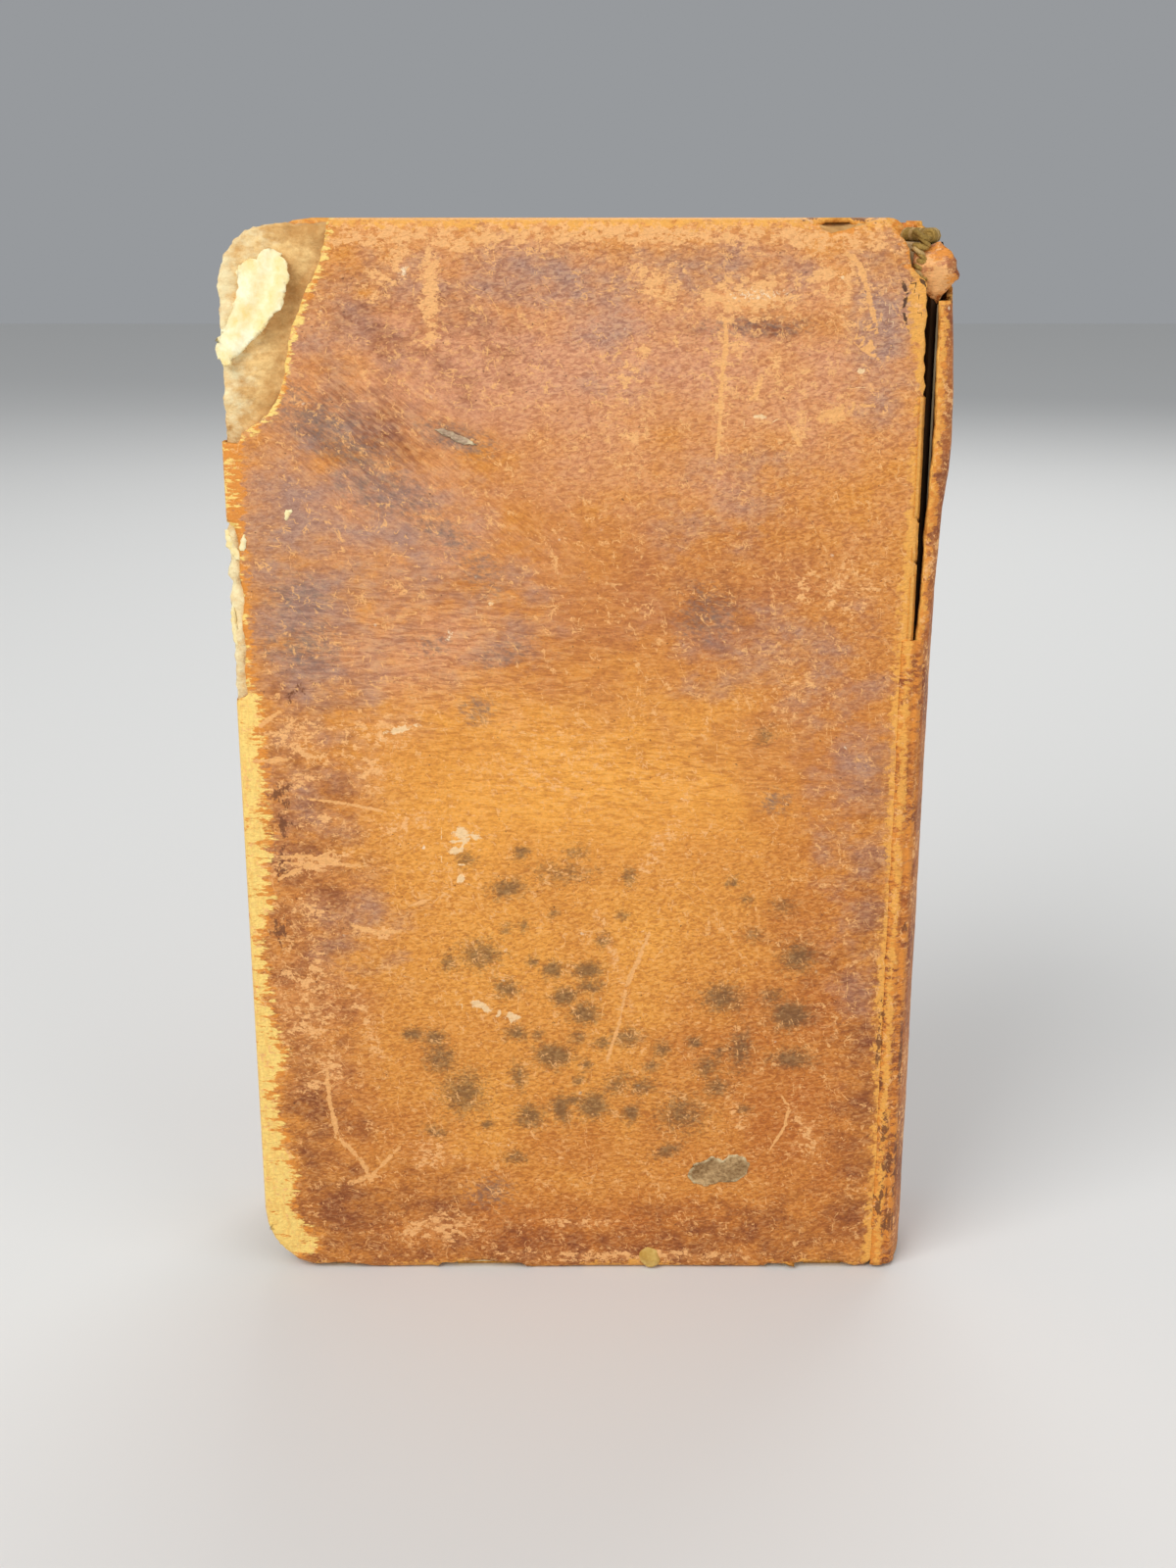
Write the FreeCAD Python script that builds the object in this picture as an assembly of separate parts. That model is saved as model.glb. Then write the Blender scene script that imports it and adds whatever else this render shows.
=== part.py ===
"""Antique leather book: one sheepskin over two pasteboard covers and a rounded spine.

The book stands closed on its tail. Units are millimetres. X runs from the fore-edge to the spine,
Y from the rear cover to the front cover, and Z from the tail to the head. The origin is at the
centre of the footprint. "Depth" is the distance from the middle of the pages, out through a cover.
"""
import FreeCAD, Part
import math
import os

Vector = FreeCAD.Vector

# Covers
cover_height = 178.8
cover_width = 109.2
board_thickness = 2.6
leather_thickness = 0.8
turn_in_thickness = 0.5
turn_in_width = 13.0
pastedown_thickness = 0.2
leather_edge_round = 1.2
board_to_joint = 0.6
joint_lip_depth = 1.8
pastedown_inset = 3.2

# Pages
block_thickness = 21.2
head_square = 3.8
tail_square = 3.0
fore_edge_square = 2.8
fore_edge_hollow = 2.6
section_count = 14
fold_bulge = 0.35
shoulder_height = 2.0
shoulder_offset = 0.4

# Spine
spine_reach = 5.0
spine_radius = 29.7
spine_leather_thickness = 0.9
lining_thickness = 0.3
lining_inset = 9.0
spine_turn_overlap = 1.0
spine_edge_drop = 0.7
spine_knee_bulge = 0.55
spine_end_inset = 0.5

# Clearances
glue_gap = 0.05
cover_gap = 0.3
joint_gap = 0.5
cutter_margin = 1.0

# Sewing
cord_count = 3
cord_radius = 0.7
cord_to_kettle = 24.0
cord_end_inset = 1.6
kettle_from_end = 12.0
kettle_radius = 0.5
slip_length = 18.0
slip_root_width = 2.0
slip_frayed_width = 6.0
slip_thickness = 0.5
endband_radius = 1.1
endband_turn_count = 16
endband_inset = 1.7
bead_overlap_ratio = 1.06
bead_waist_ratio = 0.82
thread_side_count = 8

# Wear on the rear cover, as distances from the fore-edge, the joint, the head and the tail
torn_corner = ((18.0, 0.0), (17.3, 3.9), (15.3, 8.9), (12.3, 15.4), (10.5, 22.7), (8.8, 27.4),
               (5.9, 30.4), (3.5, 31.9), (0.0, 33.0))
rubbed_fore_edge = ((-1.0, 45.3), (2.4, 46.4), (2.8, 53.8), (2.0, 60.8), (2.6, 68.8),
                    (1.6, 74.2), (-1.0, 75.3))
head_notch = ((18.6, -1.0), (17.9, 0.8), (16.0, 2.3), (13.6, 1.8), (10.2, 0.6), (9.0, -1.0))
broken_corner = ((8.0, -1.0), (6.5, 1.0), (3.7, 4.3), (3.3, 6.9), (0.9, 9.3), (0.6, 14.6),
                 (0.2, 25.8), (-0.1, 40.0), (-2.0, 40.0), (-2.0, -1.0))
rubbed_tail = ((29.0, -1.0), (30.0, 1.0), (38.0, 1.7), (48.0, 1.1), (50.0, -1.0))
rear_corner_radii = {"fore_tail": 11.0, "spine_tail": 4.5, "spine_head": 3.0, "fore_head": 10.0}
front_corner_radii = {"fore_tail": 4.0, "spine_tail": 3.0, "spine_head": 3.0, "fore_head": 4.5}
lost_ply_depth = 0.5
broken_board_setback = 0.6
rubbed_skin_depth = 3.0

# Lifted ply of the torn corner: its root line, its middle and its free edge, each as two points
# (from the fore-edge, down from the head, out from the board), then the ply's thickness there
lifted_ply = (((1.2, 19.0, -0.6), (5.6, 3.4, -0.6), 0.9),
              ((4.4, 19.6, 0.5), (10.2, 4.2, 0.5), 0.6),
              ((7.9, 14.8, 1.5), (12.6, 7.2, 1.6), 0.35))

# Split joint: down from the head, how far the skin's edge stands off, and how far its turn does
joint_lift = ((0.0, 0.6, 0.6), (18.8, 1.2, 1.5), (33.8, 1.4, 2.3), (50.8, 0.8, 1.2), (68.8, 0.0, 0.2))
apex_lift_ratio = 0.2

# Torn head of the spine, in from the skin's rear edge and down from the head
torn_head = ((24.3, -1.0), (21.3, 1.2), (17.3, 2.6), (14.3, 3.0), (11.3, 2.2), (8.3, 5.4), (4.8, 8.0),
             (2.3, 10.5), (-3.7, 12.5), (-3.7, -1.0))

# Scrap of skin at the broken head of the joint, from the joint and down from the head: its
# outline and its smaller outer face, and how deep its three sections lie below the cover's face
head_scrap = ((1.7, 7.5), (1.1, 4.2), (-1.8, 3.1), (-4.2, 7.0), (-3.4, 10.2), (-0.9, 11.4), (0.0, 9.9))
head_scrap_face = ((1.1, 7.1), (0.6, 5.6), (-1.4, 4.6), (-3.2, 7.2), (-2.6, 9.3), (-0.9, 10.2), (-0.2, 9.2))
head_scrap_depths = (2.4, 1.0, 0.1)

# Places worked out from the sizes above
fore_x = -(cover_width + spine_reach) / 2
joint_x = fore_x + cover_width
apex_x = joint_x + spine_reach
spine_centre_x = apex_x - spine_radius
half_block = block_thickness / 2
pastedown_depth = half_block + cover_gap
turn_in_depth = pastedown_depth + pastedown_thickness
board_inner = turn_in_depth + turn_in_thickness
board_outer = board_inner + board_thickness
cover_outer = board_outer + leather_thickness
board_fore_x = fore_x + leather_thickness
board_spine_x = joint_x - board_to_joint
board_tail_z = leather_thickness
board_head_z = cover_height - leather_thickness
window_fore_x = fore_x + turn_in_width
pages_tail_z = tail_square
pages_head_z = cover_height - head_square
pages_fore_x = fore_x + fore_edge_square
lining_outer_radius = spine_radius - spine_leather_thickness - glue_gap
fold_radius = lining_outer_radius - lining_thickness - glue_gap
shoulder_root_x = board_spine_x + shoulder_offset
shoulder_depth = half_block + shoulder_height
spine_edge_x = joint_x + joint_gap
spine_edge_depth = cover_outer - spine_edge_drop
spine_turn_depth = half_block + spine_turn_overlap
rubbed_depth = cover_outer - rubbed_skin_depth
kettle_heights = (pages_tail_z + kettle_from_end, pages_head_z - kettle_from_end)
cord_step = (kettle_heights[1] - kettle_heights[0] - 2 * cord_to_kettle) / (cord_count - 1)
cord_heights = [kettle_heights[0] + cord_to_kettle + number * cord_step for number in range(cord_count)]
REAR = -1
FRONT = 1


def spine_point(radius, degrees, z=0.0):
    """Point on the spine's round, at an angle from the middle of the spine."""
    angle = math.radians(degrees)
    return Vector(spine_centre_x + radius * math.cos(angle), radius * math.sin(angle), z)


def spine_angle(radius, depth):
    """Angle at which a round of the spine reaches a depth."""
    return math.degrees(math.asin(depth / radius))


def extrude_between(face, side, inner, outer):
    """Upright face in the XZ plane, made solid between two depths on one side of the pages."""
    solid = face.extrude(Vector(0, outer - inner, 0))
    solid.translate(Vector(0, inner if side == FRONT else -outer, 0))
    return solid


def box_between(x0, x1, z0, z1, side, inner, outer):
    """Upright block between two X, two Z and two depths."""
    y0 = inner if side == FRONT else -outer
    return Part.makeBox(x1 - x0, outer - inner, z1 - z0, Vector(x0, y0, z0))


def plate(x0, x1, z0, z1, radii, side, inner, outer):
    """Upright plate with its own round at each corner."""
    corners = (("fore_tail", x0, z0, 1, 1), ("spine_tail", x1, z0, -1, 1),
               ("spine_head", x1, z1, -1, -1), ("fore_head", x0, z1, 1, -1))
    arcs = []
    for number, (name, x, z, to_x, to_z) in enumerate(corners):
        radius = radii[name]
        centre = Vector(x + to_x * radius, 0, z + to_z * radius)
        on_side = Vector(x, 0, centre.z)
        on_end = Vector(centre.x, 0, z)
        middle = centre + Vector(-to_x, 0, -to_z) * (radius / math.sqrt(2))
        start, finish = (on_side, on_end) if number % 2 == 0 else (on_end, on_side)
        arcs.append((start, middle, finish))
    edges = []
    for number, (start, middle, finish) in enumerate(arcs):
        edges.append(Part.Arc(start, middle, finish).toShape())
        edges.append(Part.makeLine(finish, arcs[(number + 1) % 4][0]))
    return extrude_between(Part.Face(Part.Wire(edges)), side, inner, outer)


def prism(points, side, inner, outer):
    """Straight-sided cutter from a list of X and Z."""
    corners = [Vector(x, 0, z) for x, z in points]
    return extrude_between(Part.Face(Part.makePolygon(corners + corners[:1])), side, inner, outer)


def from_fore_head(points):
    """Distances from the fore-edge and down from the head, as X and Z."""
    return [(fore_x + across, cover_height - down) for across, down in points]


def from_fore_tail(points):
    """Distances from the fore-edge and up from the tail, as X and Z."""
    return [(fore_x + across, up) for across, up in points]


def from_joint_head(points, setback=0.0):
    """Distances from the joint towards the fore-edge and down from the head, as X and Z."""
    return [(joint_x - across - setback, cover_height - down - setback) for across, down in points]


def shrunk(radii, by):
    """Corner rounds of a plate that lies inside another by one thickness."""
    return {name: radius - by for name, radius in radii.items()}


def torn_corner_cutter(inner, outer):
    """The lost corner of skin: a smooth ragged curve, closed outside the cover."""
    margin = 3.0
    curve = Part.BSplineCurve()
    curve.interpolate([Vector(x, 0, z) for x, z in from_fore_head(torn_corner)])
    head_end = curve.value(curve.FirstParameter)
    fore_end = curve.value(curve.LastParameter)
    above = head_end + Vector(0, 0, margin)
    outside = Vector(fore_end.x - margin, 0, above.z)
    beside = Vector(outside.x, 0, fore_end.z)
    frame = Part.makePolygon([fore_end, beside, outside, above, head_end])
    return extrude_between(Part.Face(Part.Wire([curve.toShape()] + frame.Edges)), REAR, inner, outer)


def cover_leather(side, radii):
    """Skin of one cover: outer face, wrapped edges and turn-ins, open to the joint."""
    outside = plate(fore_x, joint_x, 0, cover_height, radii, side, turn_in_depth, cover_outer)
    rim = [edge for edge in outside.Edges
           if all(abs(abs(vertex.Y) - cover_outer) < 1e-6 for vertex in edge.Vertexes)]
    outside = outside.makeFillet(leather_edge_round, rim)
    board_room = plate(board_fore_x - glue_gap, board_spine_x + glue_gap,
                       board_tail_z - glue_gap, board_head_z + glue_gap,
                       shrunk(radii, leather_thickness - glue_gap),
                       side, board_inner - glue_gap, board_outer + glue_gap)
    window = box_between(window_fore_x, joint_x + cutter_margin, turn_in_width,
                         cover_height - turn_in_width, side, turn_in_depth - cutter_margin, board_inner)
    joint_side = box_between(board_spine_x - glue_gap, joint_x + cutter_margin, -cutter_margin,
                             cover_height + cutter_margin, side, turn_in_depth - cutter_margin,
                             cover_outer - joint_lip_depth)
    return outside.cut(board_room).cut(window).cut(joint_side)


def rear_leather():
    """Rear skin with its torn corner, rubbed edges and broken head of the joint."""
    under = turn_in_depth - cutter_margin
    past = cover_outer + cutter_margin
    skin = cover_leather(REAR, rear_corner_radii)
    skin = skin.cut(torn_corner_cutter(under, past))
    skin = skin.cut(prism(from_fore_head(rubbed_fore_edge), REAR, rubbed_depth, past))
    skin = skin.cut(prism(from_joint_head(head_notch), REAR, rubbed_depth, past))
    skin = skin.cut(prism(from_joint_head(broken_corner), REAR, under, past))
    return skin.cut(prism(from_fore_tail(rubbed_tail), REAR, board_outer - lost_ply_depth, past))


def slip_outline(z, grow=0.0):
    """Frayed end of a cord, pasted down in a fan on the board."""
    root = slip_root_width / 2 + grow
    fan = slip_frayed_width / 2 + grow
    far_x = board_spine_x - slip_length - grow
    return ((board_spine_x, z - root), (board_spine_x, z + root), (far_x, z + fan), (far_x, z - fan))


def cord_slip(z, side):
    """Slip laced through to the outer face of a board, in a shallow recess."""
    return prism(slip_outline(z), side, board_outer - slip_thickness, board_outer)


def board(side, radii):
    """Pasteboard with a shallow recess for each slip."""
    body = plate(board_fore_x, board_spine_x, board_tail_z, board_head_z,
                 shrunk(radii, leather_thickness), side, board_inner, board_outer)
    for z in cord_heights:
        recess = prism(slip_outline(z, glue_gap), side, board_outer - slip_thickness - glue_gap,
                       board_outer + cutter_margin)
        body = body.cut(recess)
    return body


def ply_section(section):
    """Thin upright rectangle across the lifted ply."""
    (across_a, down_a, out_a), (across_b, down_b, out_b), thickness = section
    tail = Vector(fore_x + across_a, -(board_outer + out_a), cover_height - down_a)
    head = Vector(fore_x + across_b, -(board_outer + out_b), cover_height - down_b)
    back = Vector(0, thickness, 0)
    return Part.makePolygon([tail, head, head + back, tail + back, tail])


def rear_board():
    """Rear board: pulped corner, one ply lost under the torn skin, and that ply lifted."""
    past = board_outer + cutter_margin
    body = board(REAR, rear_corner_radii)
    body = body.cut(torn_corner_cutter(board_outer - lost_ply_depth, past))
    body = body.cut(prism(from_joint_head(head_notch), REAR, rubbed_depth, past))
    body = body.cut(prism(from_joint_head(broken_corner, broken_board_setback), REAR,
                          board_inner - cutter_margin, past))
    ply = Part.makeLoft([ply_section(section) for section in lifted_ply], True, False)
    return body.fuse(ply).removeSplitter()


def pastedown(side):
    """Paper pasted inside a cover: flat over the turn-ins, one step down onto the board."""
    paper = pastedown_thickness - glue_gap
    window = (window_fore_x + glue_gap, board_spine_x, turn_in_width + glue_gap,
              cover_height - turn_in_width - glue_gap)
    sheet = box_between(fore_x + pastedown_inset, board_spine_x, pastedown_inset,
                        cover_height - pastedown_inset, side, pastedown_depth, pastedown_depth + paper)
    sunk = box_between(*window, side, pastedown_depth, board_inner - glue_gap)
    hollow = box_between(window[0] + paper, window[1] + cutter_margin, window[2] + paper,
                         window[3] - paper, side, pastedown_depth - cutter_margin,
                         board_inner - glue_gap - paper)
    sheet = sheet.fuse(sunk).cut(hollow)
    if side == REAR:
        sheet = sheet.cut(prism(from_joint_head(broken_corner, broken_board_setback), REAR,
                                pastedown_depth - cutter_margin, board_inner + cutter_margin))
    return sheet.removeSplitter()


def pages_profile():
    """Outline of the pages from above: hollow fore-edge, shoulders and one round for each fold."""
    half_angle = spine_angle(fold_radius, shoulder_depth)
    step = 2 * half_angle / section_count
    valley = fold_radius - fold_bulge
    edges = []
    for number in range(section_count):
        low = -half_angle + number * step
        edges.append(Part.Arc(spine_point(valley, low), spine_point(fold_radius, low + step / 2),
                              spine_point(valley, low + step)).toShape())
    rear_tip = spine_point(valley, -half_angle)
    front_tip = spine_point(valley, half_angle)
    path = [front_tip, Vector(shoulder_root_x, half_block, 0), Vector(pages_fore_x, half_block, 0)]
    edges += Part.makePolygon(path).Edges
    edges.append(Part.Arc(Vector(pages_fore_x, half_block, 0),
                          Vector(pages_fore_x + fore_edge_hollow, 0, 0),
                          Vector(pages_fore_x, -half_block, 0)).toShape())
    path = [Vector(pages_fore_x, -half_block, 0), Vector(shoulder_root_x, -half_block, 0), rear_tip]
    edges += Part.makePolygon(path).Edges
    return Part.Face(Part.Wire(edges))


def spine_ring(face, half_angle):
    """Face at the middle of the spine, swept both ways round the spine."""
    start = face.copy()
    start.rotate(Vector(spine_centre_x, 0, 0), Vector(0, 0, 1), -half_angle)
    return start.revolve(Vector(spine_centre_x, 0, 0), Vector(0, 0, 1), 2 * half_angle)


def upright_section(radius_in, radius_out, z0, z1):
    """Rectangle at the middle of the spine."""
    corners = [spine_point(radius_in, 0, z0), spine_point(radius_out, 0, z0),
               spine_point(radius_out, 0, z1), spine_point(radius_in, 0, z1)]
    return Part.Face(Part.makePolygon(corners + corners[:1]))


def kerf_radius(thread_radius):
    """Where a cord or thread lies: sunk in the folds, flush with their crests."""
    return fold_radius - fold_bulge - thread_radius - glue_gap


def kerf(z, thread_radius):
    """Saw cut across the folds and out past both shoulders, just wider than what lies in it."""
    reach = thread_radius + glue_gap
    middle = kerf_radius(thread_radius)
    section = upright_section(middle - reach, fold_radius + cutter_margin, z - reach, z + reach)
    return spine_ring(section, spine_angle(middle - reach, shoulder_depth + cutter_margin))


def text_block():
    """All the pages, as one solid, with the saw cuts for the sewing."""
    pages = pages_profile().extrude(Vector(0, 0, pages_head_z - pages_tail_z))
    pages.translate(Vector(0, 0, pages_tail_z))
    for z in cord_heights:
        pages = pages.cut(kerf(z, cord_radius))
    for z in kettle_heights:
        pages = pages.cut(kerf(z, kettle_radius))
    return pages


def thread_section(centre, radius):
    """Many-sided section of a cord or a thread, square across the spine's round."""
    corners = []
    for number in range(thread_side_count):
        angle = 2 * math.pi * (number + 0.5) / thread_side_count
        corners.append(centre + Vector(math.cos(angle), 0, math.sin(angle)) * radius)
    return Part.makePolygon(corners + corners[:1])


def sewing_cord(z):
    """Hemp cord across the folds, in its kerf."""
    section = Part.Face(thread_section(spine_point(kerf_radius(cord_radius), 0, z), cord_radius))
    return spine_ring(section, spine_angle(fold_radius, shoulder_depth - cord_end_inset))


def beaded_band(radius, z, bead_radius, turn_count, half_angle):
    """Row of turns of thread round the spine: each turn is a short barrel, and all are one solid."""
    step = 2 * half_angle / turn_count
    half_length = bead_overlap_ratio * radius * math.radians(step) / 2
    middle = spine_point(radius, 0, z)
    waist = bead_waist_ratio * bead_radius
    barrel = Part.makeLoft([thread_section(middle + Vector(0, along, 0), across) for along, across in
                            ((-half_length, waist), (0, bead_radius), (half_length, waist))], True, True)
    turns = []
    for number in range(turn_count):
        turn = barrel.copy()
        turn.rotate(Vector(spine_centre_x, 0, 0), Vector(0, 0, 1), -half_angle + (number + 0.5) * step)
        turns.append(turn)
    return turns[0].multiFuse(turns[1:]).removeSplitter()


def kettle_stitch(z):
    """Chain of thread that links the folds, one turn to each."""
    half_angle = spine_angle(fold_radius, shoulder_depth - cord_end_inset)
    return beaded_band(kerf_radius(kettle_radius), z, kettle_radius, section_count, half_angle)


def endband(z):
    """Thread wound on a core, seated on the edge of the pages at the spine."""
    radius = fold_radius - endband_inset
    return beaded_band(radius, z, endband_radius, endband_turn_count, spine_angle(radius, half_block))


def spine_lining():
    """Paper glued over the folds and the sewing."""
    section = upright_section(fold_radius + glue_gap, lining_outer_radius,
                              pages_tail_z + lining_inset, pages_head_z - lining_inset)
    return spine_ring(section, spine_angle(fold_radius, half_block))


def spine_skin_section(z, edge_lift, turn_lift):
    """Section of the spine's skin at one height, its rear edge and turn standing off by the lifts."""
    drop = spine_leather_thickness
    turn_angle = spine_angle(spine_radius, spine_turn_depth)
    turn = spine_point(spine_radius, turn_angle)
    edge = Vector(spine_edge_x, spine_edge_depth, 0)
    chord = turn - edge
    outward = Vector(-chord.y, chord.x, 0).normalize()
    knee = (turn + edge) * 0.5 + outward * spine_knee_bulge
    inner_turn = spine_point(spine_radius - drop, turn_angle)
    outer = (edge, knee, turn)
    inner = (edge - Vector(0, drop, 0), knee - outward * drop, inner_turn)
    lifts = (edge_lift, (edge_lift + turn_lift) / 2, turn_lift)
    front_out, front_in = [[Vector(point.x, point.y, z) for point in side] for side in (outer, inner)]
    rear_out, rear_in = [[Vector(point.x + lift, -point.y, z) for point, lift in zip(side, lifts)]
                         for side in (outer, inner)]
    apex = Vector(apex_x + apex_lift_ratio * turn_lift, 0, z)
    inner_apex = apex - Vector(drop, 0, 0)
    edges = [Part.Arc(*rear_out).toShape(),
             Part.Arc(rear_out[2], apex, front_out[2]).toShape(),
             Part.Arc(*reversed(front_out)).toShape(),
             Part.makeLine(front_out[0], front_in[0]),
             Part.Arc(*front_in).toShape(),
             Part.Arc(front_in[2], inner_apex, rear_in[2]).toShape(),
             Part.Arc(*reversed(rear_in)).toShape(),
             Part.makeLine(rear_in[0], rear_out[0])]
    return Part.Wire(edges)


def head_scrap_solid():
    """Curled scrap of skin that hangs at the broken head of the joint."""
    wires = []
    for points, depth in zip((head_scrap, head_scrap, head_scrap_face), head_scrap_depths):
        corners = [Vector(x, depth - cover_outer, z) for x, z in from_joint_head(points)]
        wires.append(Part.makePolygon(corners + corners[:1]))
    return Part.makeLoft(wires, True, True)


def spine_leather():
    """Skin of the spine: split from the rear cover at the joint, torn at the head."""
    low = spine_end_inset
    high = cover_height - spine_end_inset
    last_lifted = high - joint_lift[-1][0]
    sections = [spine_skin_section(low, 0, 0), spine_skin_section((low + last_lifted) / 2, 0, 0)]
    sections += [spine_skin_section(high - down, *lifts) for down, *lifts in reversed(joint_lift)]
    skin = Part.makeLoft(sections, True, True)
    corners = [Vector(0, across - spine_edge_depth, cover_height - down) for across, down in torn_head]
    cutter = Part.Face(Part.makePolygon(corners + corners[:1])).extrude(Vector(2 * apex_x, 0, 0))
    return skin.cut(cutter).fuse(head_scrap_solid()).removeSplitter()


def build():
    """Every piece of the book, by node name."""
    pieces = {
        "text_block": text_block(),
        "spine_leather": spine_leather(),
        "spine_lining": spine_lining(),
        "head_endband": endband(pages_head_z + endband_radius + glue_gap),
        "tail_endband": endband(pages_tail_z - endband_radius - glue_gap),
        "rear_leather": rear_leather(),
        "rear_board": rear_board(),
        "rear_pastedown": pastedown(REAR),
        "front_leather": cover_leather(FRONT, front_corner_radii),
        "front_board": board(FRONT, front_corner_radii),
        "front_pastedown": pastedown(FRONT),
    }
    for name, z in zip(("tail", "head"), kettle_heights):
        pieces[f"kettle_stitch_{name}"] = kettle_stitch(z)
    for number, z in enumerate(cord_heights, 1):
        pieces[f"sewing_cord_{number}"] = sewing_cord(z)
        pieces[f"rear_cord_slip_{number}"] = cord_slip(z, REAR)
        pieces[f"front_cord_slip_{number}"] = cord_slip(z, FRONT)
    return pieces


os.makedirs("parts", exist_ok=True)
for node, shape in build().items():
    box = shape.BoundBox
    print(f"{node:20} solids {len(shape.Solids)} valid {shape.isValid()} volume {shape.Volume:10.2f}"
          f"  x {box.XMin:7.2f} {box.XMax:7.2f}  y {box.YMin:7.2f} {box.YMax:7.2f}"
          f"  z {box.ZMin:7.2f} {box.ZMax:7.2f}")
    shape.exportStep(f"parts/{node}.step")
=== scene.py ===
# %% [markdown]
# An antique book, bound by hand in one sheepskin. The frame already holds every piece at its real
# size, as plain solids that stand, swing and carry each other. This script gives them their looks:
# the split and rubbed skin, the pulped board, the page edges, the wound endbands.
# Each visible piece is modelled again as a finer mesh in the same place, and most then ride on the
# body that carries them. All places below are in millimetres and turned to metres once, at the end.

# %% Load the frame
import math

import bmesh
import bpy
import numpy as np
from mathutils import Matrix, Vector, noise


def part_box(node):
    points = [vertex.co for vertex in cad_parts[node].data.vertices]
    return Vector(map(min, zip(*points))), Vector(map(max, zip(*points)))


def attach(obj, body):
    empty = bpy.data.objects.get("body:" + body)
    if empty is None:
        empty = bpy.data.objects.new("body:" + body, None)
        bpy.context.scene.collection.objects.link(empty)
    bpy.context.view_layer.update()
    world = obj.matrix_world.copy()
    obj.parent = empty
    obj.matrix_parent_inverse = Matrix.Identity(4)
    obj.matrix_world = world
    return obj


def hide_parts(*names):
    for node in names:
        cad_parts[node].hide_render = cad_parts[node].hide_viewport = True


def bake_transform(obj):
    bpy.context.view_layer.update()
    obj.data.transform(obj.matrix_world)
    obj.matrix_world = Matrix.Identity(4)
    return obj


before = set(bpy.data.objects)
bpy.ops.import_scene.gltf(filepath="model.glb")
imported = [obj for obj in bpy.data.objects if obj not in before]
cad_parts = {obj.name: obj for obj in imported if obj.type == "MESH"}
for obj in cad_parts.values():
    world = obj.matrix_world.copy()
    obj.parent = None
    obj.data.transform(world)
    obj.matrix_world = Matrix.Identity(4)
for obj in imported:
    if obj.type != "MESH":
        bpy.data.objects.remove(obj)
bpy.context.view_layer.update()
MM = 0.001
print("nodes in the frame:", len(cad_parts))

# %% [markdown]
# The main places come from the solids, so the looks can't drift away from the construction. The
# front skin is whole, so its box gives the cover's edges; the rear cover is its mirror image.
# "Depth" is the distance from the middle of the pages, out through either cover.

# %% Read the main places
skin_low, skin_high = [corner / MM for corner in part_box("front_leather")]
board_low, board_high = [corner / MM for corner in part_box("front_board")]
pages_low, pages_high = [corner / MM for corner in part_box("text_block")]
paste_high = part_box("front_pastedown")[1] / MM
fore_x, joint_x = round(skin_low.x, 2), round(skin_high.x, 2)
head_z = round(skin_high.z, 2)
turn_in_depth, face_depth = round(skin_low.y, 2), round(skin_high.y, 2)
board_inner, board_outer = round(board_low.y, 2), round(board_high.y, 2)
REAR, FRONT = -1, 1
print("cover from", fore_x, "to", joint_x, "and", head_z, "high, face at depth", face_depth)

# %% [markdown]
# Old skin and torn board are never straight, so most shapes here start plain and are then roughened
# by smooth noise. A noise with a fixed seed gives the same bumps on every run; the noise that gives
# a direction starts from the clock unless it is told its seed.

# %% Noise and soft shapes
noise.seed_set(3)


def wander(points, size, seed, octaves=3):
    """Smooth noise from about -1 to 1 at each point, with bumps of one size."""
    shift = Vector((17.3, 5.1, 9.7)) * seed
    return np.array([noise.fractal(Vector(point) / size + shift, 1.0, 2.0, octaves) for point in points])


def patch_mask(x, z, rows):
    """How strongly each point lies in soft oval patches: centre, half sizes, turn, strength."""
    total = np.zeros(len(x))
    for cx, cz, half_x, half_z, turn, strength in rows:
        c, s = math.cos(math.radians(turn)), math.sin(math.radians(turn))
        across = ((x - cx) * c + (z - cz) * s) / half_x
        along = ((z - cz) * c - (x - cx) * s) / half_z
        total = np.maximum(total, strength * np.exp(-0.85 * (across**2 + along**2)))
    return total


def patches(*rows):
    """A mask made of soft oval patches, as a function of the places."""
    return lambda p: patch_mask(p[:, 0], p[:, 2], rows)


def drift(size, seed, middle, swing=0.5):
    """A mask that wanders slowly round a middle value."""
    return lambda p: np.clip(middle + swing * wander(p, size, seed, 3), 0, 1)


def everywhere(value):
    """A mask with one value."""
    return lambda p: np.full(len(p), value)


def line_distance(x, z, line):
    """Distance from each point to a chain of straight stretches."""
    nearest = np.full(len(x), 1e9)
    for (x0, z0), (x1, z1) in zip(line, line[1:]):
        dx, dz = x1 - x0, z1 - z0
        share = np.clip(((x - x0) * dx + (z - z0) * dz) / (dx * dx + dz * dz), 0, 1)
        nearest = np.minimum(nearest, np.hypot(x - x0 - share * dx, z - z0 - share * dz))
    return nearest


# %% [markdown]
# A flat sheet has nothing to bend or roughen until it is cut into small faces. Cutting with planes
# keeps the outline and any hole exactly as they are, and lets the cuts lie closer where a torn edge
# needs them.

# %% Cut, tear and finish a mesh
def cut_across(bm, axis, places):
    """Cuts with a plane square to one axis at each place, working only ahead of the last cut."""
    normal = Vector([1.0 if number == axis else 0.0 for number in range(3)])
    faces = list(bm.faces)
    for place in places:
        geom = set(faces)
        for face in faces:
            geom.update(face.edges)
            geom.update(face.verts)
        cut = bmesh.ops.bisect_plane(bm, geom=list(geom), dist=1e-5, plane_co=normal * place,
                                     plane_no=normal)
        faces = [item for item in cut["geom"] if isinstance(item, bmesh.types.BMFace)
                 and item.calc_center_median()[axis] > place]


def steps(start, end, coarse, fine, fine_zones):
    """Places for cuts, closer together inside the fine zones."""
    places = [start + coarse / 2]
    while places[-1] < end:
        near = any(low <= places[-1] <= high for low, high in fine_zones)
        places.append(places[-1] + (fine if near else coarse))
    return places[:-1]


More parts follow.
